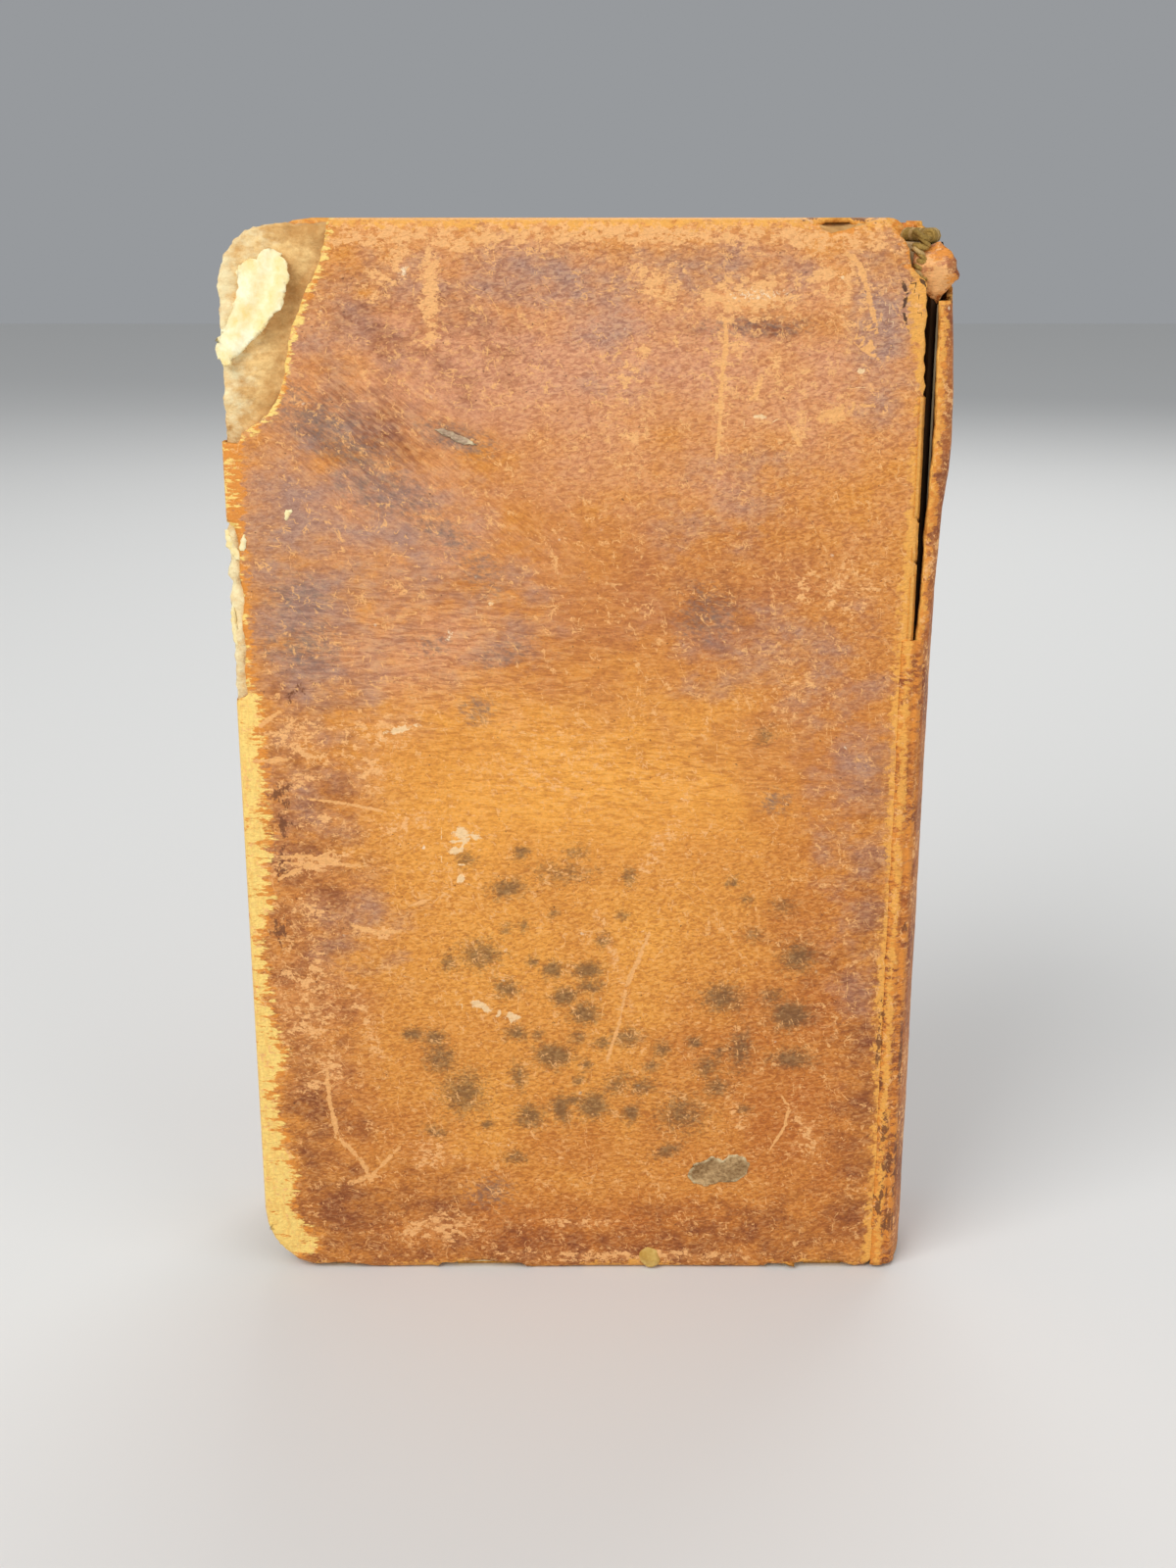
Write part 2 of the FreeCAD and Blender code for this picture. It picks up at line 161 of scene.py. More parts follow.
def inside(a, b, outline):
    """Whether a point lies inside a closed outline."""
    within = False
    for (a0, b0), (a1, b1) in zip(outline, outline[1:] + outline[:1]):
        if (b0 > b) != (b1 > b) and a < a0 + (b - b0) / (b1 - b0) * (a1 - a0):
            within = not within
    return within


RIGHT_THROUGH = -1e9


def tear_away(bm, outline, axes=(0, 2), depth_over=RIGHT_THROUGH, ragged=0.25):
    """Removes what lies inside an outline, then draws the torn edge onto it, a little ragged."""
    a, b = axes
    spread = np.array([vert.co for vert in bm.verts])
    low, high = spread.min(axis=0), spread.max(axis=0)
    gone = [face for face in bm.faces if abs(face.calc_center_median().y) > depth_over
            and inside(face.calc_center_median()[a], face.calc_center_median()[b], outline)]
    edge = {vert for face in gone for vert in face.verts}
    bmesh.ops.delete(bm, geom=gone, context="FACES")
    edge = [vert for vert in edge if vert.is_valid and vert.is_boundary]
    lines = [(np.array(start), np.array(end)) for start, end in zip(outline, outline[1:])]
    lines = [(start, end) for start, end in lines
             if low[a] <= (start + end)[0] / 2 <= high[a] and low[b] <= (start + end)[1] / 2 <= high[b]]
    for vert in edge:
        here = np.array([vert.co[a], vert.co[b]])
        best, gap = here, 1e9
        for start, end in lines:
            share = np.clip((here - start) @ (end - start) / ((end - start) @ (end - start)), 0, 1)
            point = start + share * (end - start)
            if np.hypot(*(point - here)) < gap:
                best, gap = point, np.hypot(*(point - here))
        if gap < 1.2:
            rough = noise.noise_vector(vert.co / 1.3) * ragged
            rough += noise.noise_vector(vert.co / 0.5) * ragged * 0.5
            vert.co[a] = np.clip(best[0] + rough.x, low[a], high[a])
            vert.co[b] = np.clip(best[1] + rough.z, low[b], high[b])
    print("torn away:", len(gone), "faces")


def finish_mesh(bm, name, materials, masks=None, smooth=True):
    """Turns a bmesh in millimetres into an object in metres, with its masks as attributes."""
    many_sided = [face for face in bm.faces if len(face.verts) > 4]
    bmesh.ops.triangulate(bm, faces=many_sided)
    for face in bm.faces:
        face.smooth = smooth
    places = np.array([vert.co for vert in bm.verts]).reshape(-1, 3)
    bmesh.ops.scale(bm, vec=(MM, MM, MM), verts=bm.verts)
    mesh = bpy.data.meshes.new(name)
    bm.to_mesh(mesh)
    bm.free()
    for material in materials:
        mesh.materials.append(material)
    for mask_name, mask in (masks or {}).items():
        mesh.attributes.new(mask_name, "FLOAT", "POINT").data.foreach_set("value", mask(places))
    piece = bpy.data.objects.new(name, mesh)
    bpy.context.scene.collection.objects.link(piece)
    print(name, len(mesh.polygons), "faces")
    return piece


def thicken(piece, thickness, rim_material=0):
    """Gives a one-sided sheet its thickness, inwards from the face that is seen."""
    solid = piece.modifiers.new("thickness", "SOLIDIFY")
    solid.thickness = thickness * MM
    solid.offset = -1
    solid.material_offset_rim = rim_material
    return solid


# %% [markdown]
# Every material is a small network of nodes, and all of them are built with the same two helpers:
# one turns a written colour into the linear values that the shader works in, and one adds a node
# with its settings and links. Patterns follow Object coordinates, which are metres on the real
# book, so a scale of 1000 gives a pattern one millimetre wide.

# %% Node helpers
def linear(code):
    """Linear colour from an sRGB hex value."""
    parts = [int(code[start:start + 2], 16) / 255 for start in (1, 3, 5)]
    return [*(part / 12.92 if part <= 0.04045 else ((part + 0.055) / 1.055) ** 2.4 for part in parts), 1.0]


def add_node(material, kind, inputs=None, **settings):
    """Adds one shader node; inputs are values, colours or the outputs of other nodes."""
    node = material.node_tree.nodes.new("ShaderNode" + kind)
    for name, value in settings.items():
        setattr(node, name, value)
    for key, value in (inputs or {}).items():
        if isinstance(value, bpy.types.NodeSocket):
            material.node_tree.links.new(value, node.inputs[key])
        else:
            node.inputs[key].default_value = linear(value) if isinstance(value, str) else value
    return node


FACTOR, COLOUR_A, COLOUR_B, MIXED = 0, 6, 7, 2


def new_material(name, roughness, specular=0.35):
    """An empty material with its shader ready."""
    material = bpy.data.materials.new(name)
    material.use_nodes = True
    shader = material.node_tree.nodes["Principled BSDF"]
    shader.inputs["Roughness"].default_value = roughness
    shader.inputs["Specular IOR Level"].default_value = specular
    return material, shader


# %% [markdown]
# Old surfaces are layers over each other: stains, then wear, then dirt. So these materials are
# stacks. Each layer has a mask on the mesh that says where it lies, and a noise of a real size in
# millimetres that breaks its edge into the flecks or fibres of that kind of wear. The order of the
# stack is the order of time.

# %% Lay the layers over a colour
def laid_over(material, place, colour, layers):
    """Mixes each layer's colour over the one below, where its mask and its noise allow."""
    for number, (mask, tint, size, turn, ragged, soft, strength) in enumerate(layers):
        amount = add_node(material, "Attribute", attribute_name=mask).outputs["Fac"]
        spot = add_node(material, "Mapping", {"Vector": place, "Scale": [edge * MM for edge in size],
                                              "Location": (0.31 * number, 0.17 * number, 0.23 * number),
                                              "Rotation": (0, math.radians(turn), 0)}, vector_type="TEXTURE")
        cloud = add_node(material, "TexNoise", {"Vector": spot.outputs[0], "Scale": 1.0, "Detail": 4.5,
                                                "Roughness": 0.68})
        broken = add_node(material, "MapRange", {"Value": cloud.outputs["Fac"], "From Min": 0.25,
                                                 "From Max": 0.75, "To Min": -ragged / 2, "To Max": ragged / 2})
        level = add_node(material, "Math", {0: amount, 1: broken.outputs[0]}, operation="ADD")
        edge = add_node(material, "MapRange", {"Value": level.outputs[0], "From Min": 0.5 - soft / 2,
                                               "From Max": 0.5 + soft / 2, "To Max": strength})
        shown = add_node(material, "Math", {0: amount, 1: 9.0}, operation="MULTIPLY", use_clamp=True)
        factor = add_node(material, "Math", {0: edge.outputs[0], 1: shown.outputs[0]}, operation="MULTIPLY")
        colour = add_node(material, "Mix", {FACTOR: factor.outputs[0], COLOUR_A: colour, COLOUR_B: tint},
                          data_type="RGBA").outputs[MIXED]
    return colour


# %% [markdown]
# The skin is vegetable-tanned sheep, two hundred years old: golden where the grain is dry, mauve
# where a painted sheen stands in for gloss, dark where hands and damp reached it, and raw yellow
# where the grain layer is rubbed off. Sheep grain is a fine relief: short wavy ridges 0.8 mm apart
# over the back, slanting ones near the flank, and small round pebbles between. Dirt settles in its
# valleys, and the tops of its ridges are painted lighter as a highlight.

# %% Sheepskin
STAINS = (
    # mask, colour, size of the noise in mm, its turn, how ragged, how soft, strength
    ("gold", "#f3a741", (12, 12, 9), 0, 0.7, 1.0, 0.95),
    ("amber", "#bf6a22", (12, 12, 9), 0, 1.0, 1.0, 0.88),
    ("russet", "#bf7440", (10, 10, 8), 0, 1.0, 1.0, 0.90),
    ("rosy", "#dc9b74", (11, 11, 8), 0, 0.9, 1.0, 0.90),
    # painted sheen: a mauve tone standing in for gloss reflected off the polished skin
    ("painted_sheen", "#ab8677", (8, 8, 5), 0, 1.3, 0.9, 0.85),
    ("brown", "#86431f", (6, 6, 4), 0, 1.5, 0.9, 0.80),
    ("mildew", "#80603a", (1.2, 1.2, 0.9), 0, 1.2, 0.75, 0.62),
)
WEAR = (
    ("smudge", "#6f635c", (1.1, 1.1, 0.6), 20, 1.8, 1.0, 0.66),
    ("mildew", "#5a4326", (0.5, 0.5, 0.4), 0, 1.8, 0.5, 0.38),
    ("scuff", "#e39a58", (2.4, 2.4, 2.0), 0, 1.5, 0.8, 0.50),
    ("scuff", "#f4b673", (1.2, 1.2, 0.8), 4, 2.4, 0.22, 0.88),
    ("orange", "#e38e31", (2.2, 2.2, 0.9), 0, 2.0, 0.35, 0.90),
    ("rubbed", "#eda84a", (1.3, 1.3, 1.0), 0, 1.8, 0.35, 0.92),
    ("raw", "#fbd778", (2.8, 2.8, 0.9), 0, 2.2, 0.25, 0.95),
    ("fleck", "#eeb055", (0.8, 0.8, 2.6), 0, 2.4, 0.9, 0.55),
    ("remains", "#74401d", (1.1, 1.1, 1.7), 0, 1.9, 0.25, 0.88),
    ("pale", "#f8dcb4", (0.5, 0.5, 0.5), 0, 1.5, 0.35, 0.92),
)
SPOTS = (
    # colour, spacing in mm, radius as a share of it, share of cells left bare, strength
    ("#4f2a12", 1.25, 0.15, 0.66, 0.80),
    ("#f8e2c0", 3.3, 0.10, 0.80, 0.90),
)


def sheepskin(name, base="#de9038"):
    """Worn vegetable-tanned sheepskin: dull, fine-grained and mottled."""
    material, shader = new_material(name, roughness=0.55, specular=0.4)
    place = add_node(material, "TexCoord").outputs["Object"]
    colour = laid_over(material, place, linear(base), STAINS)

    # Grain: ridges along, ridges aslant and pebbles, mixed by masks on the mesh
    relief = []
    for size, turn in (((2.3, 2.3, 0.55), 2), ((2.0, 2.0, 0.55), 38), ((0.95, 0.95, 0.50), -8)):
        spot = add_node(material, "Mapping", {"Vector": place, "Scale": [edge * MM for edge in size],
                                              "Rotation": (0, math.radians(turn), 0)}, vector_type="TEXTURE")
        ridges = add_node(material, "TexNoise", {"Vector": spot.outputs[0], "Scale": 1.0, "Detail": 3.0,
                                                 "Roughness": 0.6, "Distortion": 0.6})
        relief.append(add_node(material, "MapRange", {"Value": ridges.outputs["Fac"], "From Min": 0.36,
                                                      "From Max": 0.64}).outputs[0])
    along = add_node(material, "Attribute", attribute_name="ripple").outputs["Fac"]
    aslant = add_node(material, "Attribute", attribute_name="slant").outputs["Fac"]
    grain = add_node(material, "Mix", {FACTOR: along, 2: relief[2], 3: relief[0]}, data_type="FLOAT").outputs[0]
    grain = add_node(material, "Mix", {FACTOR: aslant, 2: grain, 3: relief[1]}, data_type="FLOAT").outputs[0]
    dust = add_node(material, "TexNoise", {"Vector": place, "Scale": 2200.0, "Detail": 3.0, "Roughness": 0.7})
    # Dust darkens the valleys of the grain; the tops of the ridges are lightened as a painted highlight.
    valley = add_node(material, "MapRange", {"Value": grain, "From Min": 0.62, "From Max": 0.0, "To Max": 0.46})
    painted_ridge_highlight = add_node(material, "MapRange", {"Value": grain, "From Min": 0.55, "From Max": 1.0, "To Max": 0.17})
    colour = add_node(material, "Mix", {FACTOR: valley.outputs[0], COLOUR_A: colour, COLOUR_B: "#a2705a"},
                      data_type="RGBA", blend_type="MULTIPLY").outputs[MIXED]
    colour = add_node(material, "Mix", {FACTOR: painted_ridge_highlight.outputs[0], COLOUR_A: colour, COLOUR_B: "#ffd194"},
                      data_type="RGBA").outputs[MIXED]

    # Pores and flecks are round, so each comes from a cell pattern with most cells left bare
    shaken = add_node(material, "TexNoise", {"Vector": place, "Scale": 600.0, "Detail": 3.0}).outputs["Color"]
    shaken = add_node(material, "VectorMath", {0: shaken, 1: (0.0016, 0.0016, 0.0016)}, operation="MULTIPLY")
    shaken = add_node(material, "VectorMath", {0: place, 1: shaken.outputs[0]}, operation="ADD")
    for tint, spacing, radius, bare, strength in SPOTS:
        cells = add_node(material, "TexVoronoi", {"Vector": shaken.outputs[0], "Scale": 1 / (spacing * MM)})
        chance = add_node(material, "SeparateColor", {"Color": cells.outputs["Color"]}).outputs[0]
        present = add_node(material, "MapRange", {"Value": chance, "From Min": bare, "From Max": bare + 0.2})
        spot = add_node(material, "MapRange", {"Value": cells.outputs["Distance"], "From Min": radius,
                                               "From Max": radius * 0.3, "To Max": strength})
        factor = add_node(material, "Math", {0: spot.outputs[0], 1: present.outputs[0]}, operation="MULTIPLY")
        colour = add_node(material, "Mix", {FACTOR: factor.outputs[0], COLOUR_A: colour, COLOUR_B: tint},
                          data_type="RGBA").outputs[MIXED]

    colour = laid_over(material, place, colour, WEAR)

    # Scratches and chips: each vertex near one knows its place in that mark's own small ellipse
    breaks = add_node(material, "TexNoise", {"Vector": place, "Scale": 900.0, "Detail": 3.0, "Roughness": 0.6})
    breaks = add_node(material, "MapRange", {"Value": breaks.outputs["Fac"], "From Min": 0.3, "From Max": 0.7,
                                             "To Min": -0.75, "To Max": 0.75}).outputs[0]
    across, along, tone = [add_node(material, "Attribute", attribute_name=name).outputs["Fac"]
                           for name in ("mark_across", "mark_along", "mark_tone")]
    reach = add_node(material, "CombineXYZ", {0: across, 1: along})
    reach = add_node(material, "VectorMath", {0: reach.outputs[0]}, operation="LENGTH").outputs["Value"]
    reach = add_node(material, "Math", {0: reach, 1: breaks}, operation="ADD")
    cut = add_node(material, "MapRange", {"Value": reach.outputs[0], "From Min": 1.15, "From Max": 0.85,
                                          "To Max": 0.9})
    here = add_node(material, "Math", {0: tone, 1: 9.0}, operation="MULTIPLY", use_clamp=True)
    factor = add_node(material, "Math", {0: cut.outputs[0], 1: here.outputs[0]}, operation="MULTIPLY")
    chipped = add_node(material, "MapRange", {"Value": tone, "From Min": 0.4, "From Max": 0.5})
    darkened = add_node(material, "MapRange", {"Value": tone, "From Min": 0.75, "From Max": 0.85})
    tint = add_node(material, "Mix", {FACTOR: chipped.outputs[0], COLOUR_A: "#f0b06a", COLOUR_B: "#f5d09c"},
                    data_type="RGBA").outputs[MIXED]
    tint = add_node(material, "Mix", {FACTOR: darkened.outputs[0], COLOUR_A: tint, COLOUR_B: "#3f200d"},
                    data_type="RGBA").outputs[MIXED]
    colour = add_node(material, "Mix", {FACTOR: factor.outputs[0], COLOUR_A: colour, COLOUR_B: tint},
                      data_type="RGBA").outputs[MIXED]

    # Hairlines: the thin places where a slow noise passes its middle, shown only here and there
    for size, turn in (((9, 9, 4), 10), ((5, 5, 10), -18)):
        spot = add_node(material, "Mapping", {"Vector": place, "Scale": [edge * MM for edge in size],
                                              "Rotation": (0, math.radians(turn), 0)}, vector_type="TEXTURE")
        slow = add_node(material, "TexNoise", {"Vector": spot.outputs[0], "Scale": 1.0, "Detail": 4.0,
                                               "Roughness": 0.55, "Distortion": 0.5})
        near = add_node(material, "Math", {0: slow.outputs["Fac"], 1: 0.5}, operation="SUBTRACT")
        near = add_node(material, "Math", {0: near.outputs[0]}, operation="ABSOLUTE")
        hair = add_node(material, "MapRange", {"Value": near.outputs[0], "From Min": 0.012, "From Max": 0.003,
                                               "To Max": 0.8})
        shown = add_node(material, "MapRange", {"Value": breaks, "From Min": 0.0, "From Max": 0.3})
        factor = add_node(material, "Math", {0: hair.outputs[0], 1: shown.outputs[0]}, operation="MULTIPLY")
        colour = add_node(material, "Mix", {FACTOR: factor.outputs[0], COLOUR_A: colour, COLOUR_B: "#f2b470"},
                          data_type="RGBA").outputs[MIXED]
    tone = add_node(material, "MapRange", {"Value": dust.outputs["Fac"], "From Min": 0.3, "From Max": 0.7,
                                           "To Min": 0.88, "To Max": 1.10})
    colour = add_node(material, "Mix", {FACTOR: 1.0, COLOUR_A: colour, COLOUR_B: tone.outputs[0]},
                      data_type="RGBA", blend_type="MULTIPLY").outputs[MIXED]
    height = add_node(material, "Math", {0: dust.outputs["Fac"], 1: 0.35, 2: grain}, operation="MULTIPLY_ADD")
    bump = add_node(material, "Bump", {"Strength": 0.6, "Distance": 0.00016, "Height": height.outputs[0]})
    material.node_tree.links.new(colour, shader.inputs["Base Color"])
    material.node_tree.links.new(bump.outputs[0], shader.inputs["Normal"])
    return material


cover_skin_material = sheepskin("worn sheepskin")
print("sheepskin layers:", [layer[0] for layer in STAINS + WEAR])

# %% [markdown]
# Where the skin is torn, its edge shows the flesh side: loose orange-yellow fibres with no grain and
# no polish. Torn pasteboard is lighter still, a grey-cream pulp of old paper laid in plies, nearly
# white where it has only lately come to light and grey-brown where dust has settled.

# %% Torn leather, pulp and paper
PULP_LAYERS = (
    # The first layer browns with dust, and in the notch at the head of the rear board it is painted shade.
    ("dust_and_painted_shade", "#b98a52", (1.5, 1.5, 1.2), 0, 1.2, 0.9, 0.62),
    ("fresh", "#fff0bf", (2.4, 2.4, 1.8), 0, 1.2, 0.9, 0.85),
    # The last layer is painted shade: near-black for the deep gap of the joint, shown on the paper hinges.
    ("painted_gap_shade", "#2a180b", (2.0, 2.0, 2.0), 0, 0.6, 0.5, 0.95),
)


def fibrous(name, light, dark, across, up, roughness=0.9, bump_depth=0.25, strength=0.8):
    """Matt broken fibre in two tones, with its grain across and up in millimetres."""
    material, shader = new_material(name, roughness, specular=0.15)
    place = add_node(material, "TexCoord").outputs["Object"]
    scaled = add_node(material, "Mapping", {"Vector": place, "Scale": (across * MM, across * MM, up * MM)},
                      vector_type="TEXTURE")
    fibre = add_node(material, "TexNoise", {"Vector": scaled.outputs[0], "Scale": 1.0, "Detail": 6.0,
                                            "Roughness": 0.68}).outputs["Fac"]
    stain = add_node(material, "TexNoise", {"Vector": place, "Scale": 180.0, "Detail": 3.0}).outputs["Fac"]
    blend = add_node(material, "Math", {0: fibre, 1: stain}, operation="MULTIPLY")
    level = add_node(material, "MapRange", {"Value": blend.outputs[0], "From Min": 0.14, "From Max": 0.36})
    colour = add_node(material, "Mix", {FACTOR: level.outputs[0], COLOUR_A: dark, COLOUR_B: light},
                      data_type="RGBA").outputs[MIXED]
    colour = laid_over(material, place, colour, PULP_LAYERS)
    bump = add_node(material, "Bump", {"Strength": strength, "Distance": bump_depth * MM, "Height": fibre})
    material.node_tree.links.new(colour, shader.inputs["Base Color"])
    material.node_tree.links.new(bump.outputs[0], shader.inputs["Normal"])
    return material


# Orange fuzz along a torn edge
flesh_material = fibrous("torn leather fibre", "#ffc060", "#a9611f", 0.9, 0.9)
# Warm and lumpy, the inside of the board; its darker tone, laid by noise, is partly the pulp's own mottling and
# partly painted shade for the hollows between the lumps
pulp_material = fibrous("pasteboard pulp", "#f9d08c", "#d09a5a", 1.3, 0.9, bump_depth=0.5)
# The palest thing on the book, because it was hidden until lately; its darker yellow tone, laid by noise, is
# painted shade between the folds of the ply
ply_material = fibrous("lifted paper ply", "#fff8d2", "#f6d98f", 2.0, 2.0, bump_depth=0.35)
# Even and smooth, with soft clouds of old paste
paste_material = fibrous("old pastedown paper", "#dcc79f", "#ceb587", 6.0, 6.0, bump_depth=0.03, strength=0.3)
# Coarse grey-yellow fibre
cord_material = fibrous("hemp cord", "#c9ad78", "#8d7145", 0.5, 0.5)
# The green has gone olive, the plain thread yellow
green_silk = fibrous("faded green endband silk", "#b3904c", "#755a29", 0.3, 0.3)
plain_silk = fibrous("undyed endband silk", "#cfae74", "#94713d", 0.3, 0.3)
# Grey-brown and rough against the smooth skin
scab_material = fibrous("dried residue", "#cfab79", "#7a5833", 0.7, 0.5, roughness=0.8, bump_depth=0.4)
gouge_material = fibrous("grain lifted by a cut", "#c4a88c", "#94785f", 0.9, 0.4, roughness=0.7, bump_depth=0.2)
# The one glossy spot
glue_material = fibrous("old glue bead", "#dcb869", "#b98b3c", 1.0, 1.0, roughness=0.3)


# %% [markdown]
# The edges of the pages show as fine lines, one for each few leaves, all running the same way.
# The lines are a noise squeezed hard across the leaves and stretched along them.

# %% Page edges
def page_edges(name):
    """Edges of hand-made paper: thin lines across the leaves, browned by dust."""
    material, shader = new_material(name, roughness=0.85, specular=0.2)
    place = add_node(material, "TexCoord").outputs["Object"]
    leaves = add_node(material, "Mapping", {"Vector": place, "Scale": (25.0, 4200.0, 25.0)})
    leaves = add_node(material, "TexNoise", {"Vector": leaves.outputs[0], "Scale": 1.0, "Detail": 3.0,
                                             "Roughness": 0.6}).outputs["Fac"]
    stain = add_node(material, "TexNoise", {"Vector": place, "Scale": 60.0, "Detail": 4.0}).outputs["Fac"]
    stain = add_node(material, "MapRange", {"Value": stain, "From Min": 0.4, "From Max": 0.65})
    lines = add_node(material, "MapRange", {"Value": leaves, "From Min": 0.35, "From Max": 0.6})
    paper = add_node(material, "Mix", {FACTOR: lines.outputs[0], COLOUR_A: "#a98252", COLOUR_B: "#dcc294"},
                     data_type="RGBA")
    colour = add_node(material, "Mix", {FACTOR: stain.outputs[0], COLOUR_A: paper.outputs[MIXED],
                                        COLOUR_B: "#b99566"}, data_type="RGBA")
    # The spine side of the pages turns near-black: partly old glue in the folds, partly painted shade, the dark
    # seen deep in the split joint.
    glue = add_node(material, "Attribute", attribute_name="glue").outputs["Fac"]
    colour = add_node(material, "Mix", {FACTOR: glue, COLOUR_A: colour.outputs[MIXED], COLOUR_B: "#2e1a0b"},
                      data_type="RGBA")
    bump = add_node(material, "Bump", {"Strength": 0.5, "Distance": 0.0001, "Height": leaves})
    material.node_tree.links.new(colour.outputs[MIXED], shader.inputs["Base Color"])
    material.node_tree.links.new(bump.outputs[0], shader.inputs["Normal"])
    return material


page_material = page_edges("rag paper edges")

# %% [markdown]
# A cover's skin is one sheet, wrapped over the board's edges and turned in on the inside. It starts
# as a plate with rounded corners. The plate's outer rim is bevelled, the inside face is opened to
# leave only the turn-ins, and the side at the joint is taken off, because the skin runs on there.

# %% Skin of a cover
turn_in_width = 13.0
edge_round = 1.2
lip_depth = 1.8


def rounded_outline(x0, x1, z0, z1, radii, arc_points=7):
    """Outline of an upright plate; its radii run fore-tail, spine-tail, spine-head, fore-head."""
    corners = ((x0, z0, 1, 1, 180), (x1, z0, -1, 1, 270), (x1, z1, -1, -1, 0), (x0, z1, 1, -1, 90))
    points = []
    for (x, z, to_x, to_z, start), radius in zip(corners, radii):
        for number in range(arc_points):
            angle = math.radians(start + 90 * number / (arc_points - 1))
            points.append((x + to_x * radius + radius * math.cos(angle),
                           z + to_z * radius + radius * math.sin(angle)))
    return points


def plate(outline, outer, inner):
    """Closed plate between two depths on the rear side, with the edges of its outer face."""
    bm = bmesh.new()
    face = bm.faces.new([bm.verts.new((x, -outer, z)) for x, z in outline])
    rim = list(face.edges)
    grown = bmesh.ops.extrude_face_region(bm, geom=[face])
    moved = [item for item in grown["geom"] if isinstance(item, bmesh.types.BMVert)]
    bmesh.ops.translate(bm, vec=(0, outer - inner, 0), verts=moved)
    return bm, rim


def wrapped_skin(radii, coarse, fine, x_zones, z_zones):
    """Skin of one cover, cut fine enough to bend."""
    bm, rim = plate(rounded_outline(fore_x, joint_x, 0, head_z, radii), face_depth, turn_in_depth)
    bmesh.ops.bevel(bm, geom=rim, offset=edge_round, segments=4, profile=0.5, affect="EDGES", material=-1)
    window_x, window_low, window_high = fore_x + turn_in_width, turn_in_width, head_z - turn_in_width
    x_cuts = steps(fore_x, joint_x, coarse, fine, x_zones)
    z_cuts = steps(0, head_z, coarse, fine, z_zones)
    cut_across(bm, 0, sorted(x_cuts + [window_x]))
    cut_across(bm, 2, sorted(z_cuts + [window_low, window_high]))
    cut_across(bm, 1, [-(face_depth - lip_depth), -(turn_in_depth + 0.8)])
    gone = []
    for face in bm.faces:
        centre, normal = face.calc_center_median(), face.normal
        in_window = centre.x > window_x and window_low < centre.z < window_high
        if -centre.y < turn_in_depth + 0.01 and in_window:
            gone.append(face)
        elif centre.x > joint_x - 0.01 and -centre.y < face_depth - lip_depth:
            gone.append(face)
    bmesh.ops.delete(bm, geom=gone, context="FACES")
    bmesh.ops.recalc_face_normals(bm, faces=bm.faces)
    outward = sum(face.normal.y * face.calc_area() for face in bm.faces
                  if face.calc_center_median().y < -face_depth + 0.01)
    if outward > 0:
        bmesh.ops.reverse_faces(bm, faces=bm.faces)
    return bm


# %% [markdown]
# The damage on the rear cover is placed where it is on the real one. Tears are outlines, measured
# from the nearest corner of the cover. Everything else is a soft patch or a line.

# %% Tears of the rear cover
def from_head(points):
    """Distances from the fore-edge and down from the head, as X and Z."""
    return [(fore_x + across, head_z - down) for across, down in points]


def from_joint(points):
    """Distances from the joint towards the fore-edge and down from the head, as X and Z."""
    return [(joint_x - across, head_z - down) for across, down in points]


torn_corner = ((18.0, -3.0), (18.0, 0.0), (17.3, 3.9), (16.6, 6.2), (15.3, 8.9), (13.6, 12.0), (12.3, 15.4),
               (11.2, 18.8), (10.5, 22.7), (9.9, 25.4), (8.8, 27.4), (7.4, 29.2), (5.9, 30.4), (3.5, 31.9),
               (2.7, 33.5), (-3.0, 33.5), (-3.0, -3.0))
rubbed_fore_edge = ((-1.0, 45.3), (1.6, 46.4), (2.3, 50.4), (1.9, 54.8), (2.6, 58.0), (1.9, 61.8), (2.4, 66.0),
                    (1.9, 70.4), (2.3, 73.6), (-1.0, 75.3))
head_notch = ((18.6, -1.0), (17.9, 0.8), (16.0, 2.3), (13.6, 1.8), (10.2, 0.6), (9.0, -1.0))
broken_corner = ((8.0, -1.0), (6.5, 1.0), (3.7, 4.3), (3.3, 6.9), (0.9, 9.3), (0.6, 14.6), (0.2, 25.8),
                 (-0.1, 40.0), (-2.0, 40.0), (-2.0, -1.0))
rubbed_tail_fore = [(-49.5, -1.0), (-48.0, 0.9), (-44.0, 1.3), (-40.0, 0.9), (-38.0, -1.0)]
rubbed_tail_middle = [(-28.5, -1.0), (-26.0, 1.0), (-19.1, 1.7), (-12.0, 1.2), (-8.0, -1.0)]
rubbed_tail_spine = [(29.0, -1.0), (32.0, 1.0), (38.0, 1.2), (45.0, 1.4), (49.0, -1.0)]
rub_depth = board_outer - 0.8
